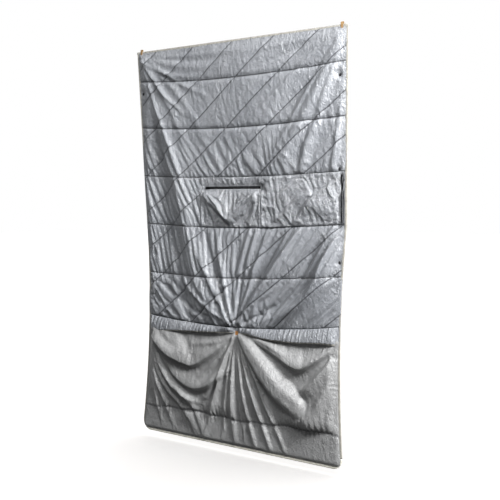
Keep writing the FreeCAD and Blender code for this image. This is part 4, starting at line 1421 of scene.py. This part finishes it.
def build_stage():
    """A white floor just below the foot of the quilt."""
    z = -LENGTH - 0.030
    span = 30.0
    corners = [(-span, -span, z), (span, -span, z), (span, span, z), (-span, span, z)]
    material, tree, shader = node_material("floor_paper", 0.9, 0.1)
    tone = texture(tree, "Noise", 1.5, Detail=2)
    tree.links.new(ramp(tree, tone.outputs["Fac"], [(0.3, (0.93, 0.905, 0.885)),
                                                    (0.7, (0.95, 0.93, 0.915))]),
                   shader.inputs["Base Color"])
    shader.inputs["Emission Color"].default_value = (1.0, 1.0, 1.0, 1)
    shader.inputs["Emission Strength"].default_value = 0.34
    floor = new_object("floor", corners, [[0, 1, 2, 3]], material)
    floor.visible_diffuse = False
    floor.visible_glossy = False
    return floor


def area_light(name, place, target, size, power):
    """A square soft box that faces its target."""
    light = bpy.data.lights.new(name, "AREA")
    light.size = size
    light.energy = power
    lamp = bpy.data.objects.new(name, light)
    lamp.location = place
    lamp.rotation_euler = (Vector(target) - Vector(place)).to_track_quat("-Z", "Y").to_euler()
    bpy.context.scene.collection.objects.link(lamp)
    return lamp


def build_light(floor):
    """White surround behind the quilt and above it, dimmer in front, and three soft boxes."""
    world = bpy.data.worlds.new("studio")
    bpy.context.scene.world = world
    world.use_nodes = True
    tree = world.node_tree
    background = tree.nodes["Background"]
    background.inputs["Color"].default_value = (1, 1, 1, 1)
    direction = tree.nodes.new("ShaderNodeTexCoord")
    parts = tree.nodes.new("ShaderNodeSeparateXYZ")
    tree.links.new(direction.outputs["Generated"], parts.inputs["Vector"])
    behind = map_range(tree, parts.outputs["Y"], -0.2, 0.4, 0.15, 1.0)
    above = map_range(tree, parts.outputs["Z"], 0.45, 0.9, 0.0, 1.4)
    most = greater(tree, behind.outputs["Result"], above.outputs["Result"])
    tree.links.new(most, background.inputs["Strength"])
    unlit = bpy.data.collections.new("not_lit_by_boxes")
    unlit.objects.link(floor)
    unlit.collection_objects[0].light_linking.link_state = "EXCLUDE"
    key = area_light("key", (3.8, -1.15, 0.9), (0.0, 0.0, -0.8), 0.9, 580)
    low = area_light("low", (2.9, -0.9, -1.3), (0.4, 0.0, -1.2), 0.7, 12)
    front = area_light("front", (1.1, -2.5, 1.9), (0.0, 0.0, -0.6), 0.7, 108)
    for lamp in (key, low, front):
        lamp.light_linking.receiver_collection = unlit
    bpy.context.scene.view_settings.view_transform = "Standard"


def build_camera():
    """The camera of the photograph: in front of the quilt and to its right."""
    camera = bpy.data.cameras.new("camera")
    camera.lens = 74.7
    camera.sensor_width = 36.0
    camera.clip_end = 100
    eye = bpy.data.objects.new("camera", camera)
    eye.location = (3.486, -3.791, -0.79)
    azimuth, pitch = math.radians(41.7), math.radians(2.76)
    eye.rotation_euler = (math.pi / 2 - pitch, 0, azimuth)
    bpy.context.scene.collection.objects.link(eye)
    bpy.context.scene.camera = eye


build_camera()
build_light(build_stage())
face_surface, back_layer = build_body()
build_seams(face_surface, back_layer)
build_edges()
build_pockets(face_surface)
build_foot_pocket()
build_mouth_hem()
build_loops()
build_tab()
build_bartacks(face_surface)
build_hardware()
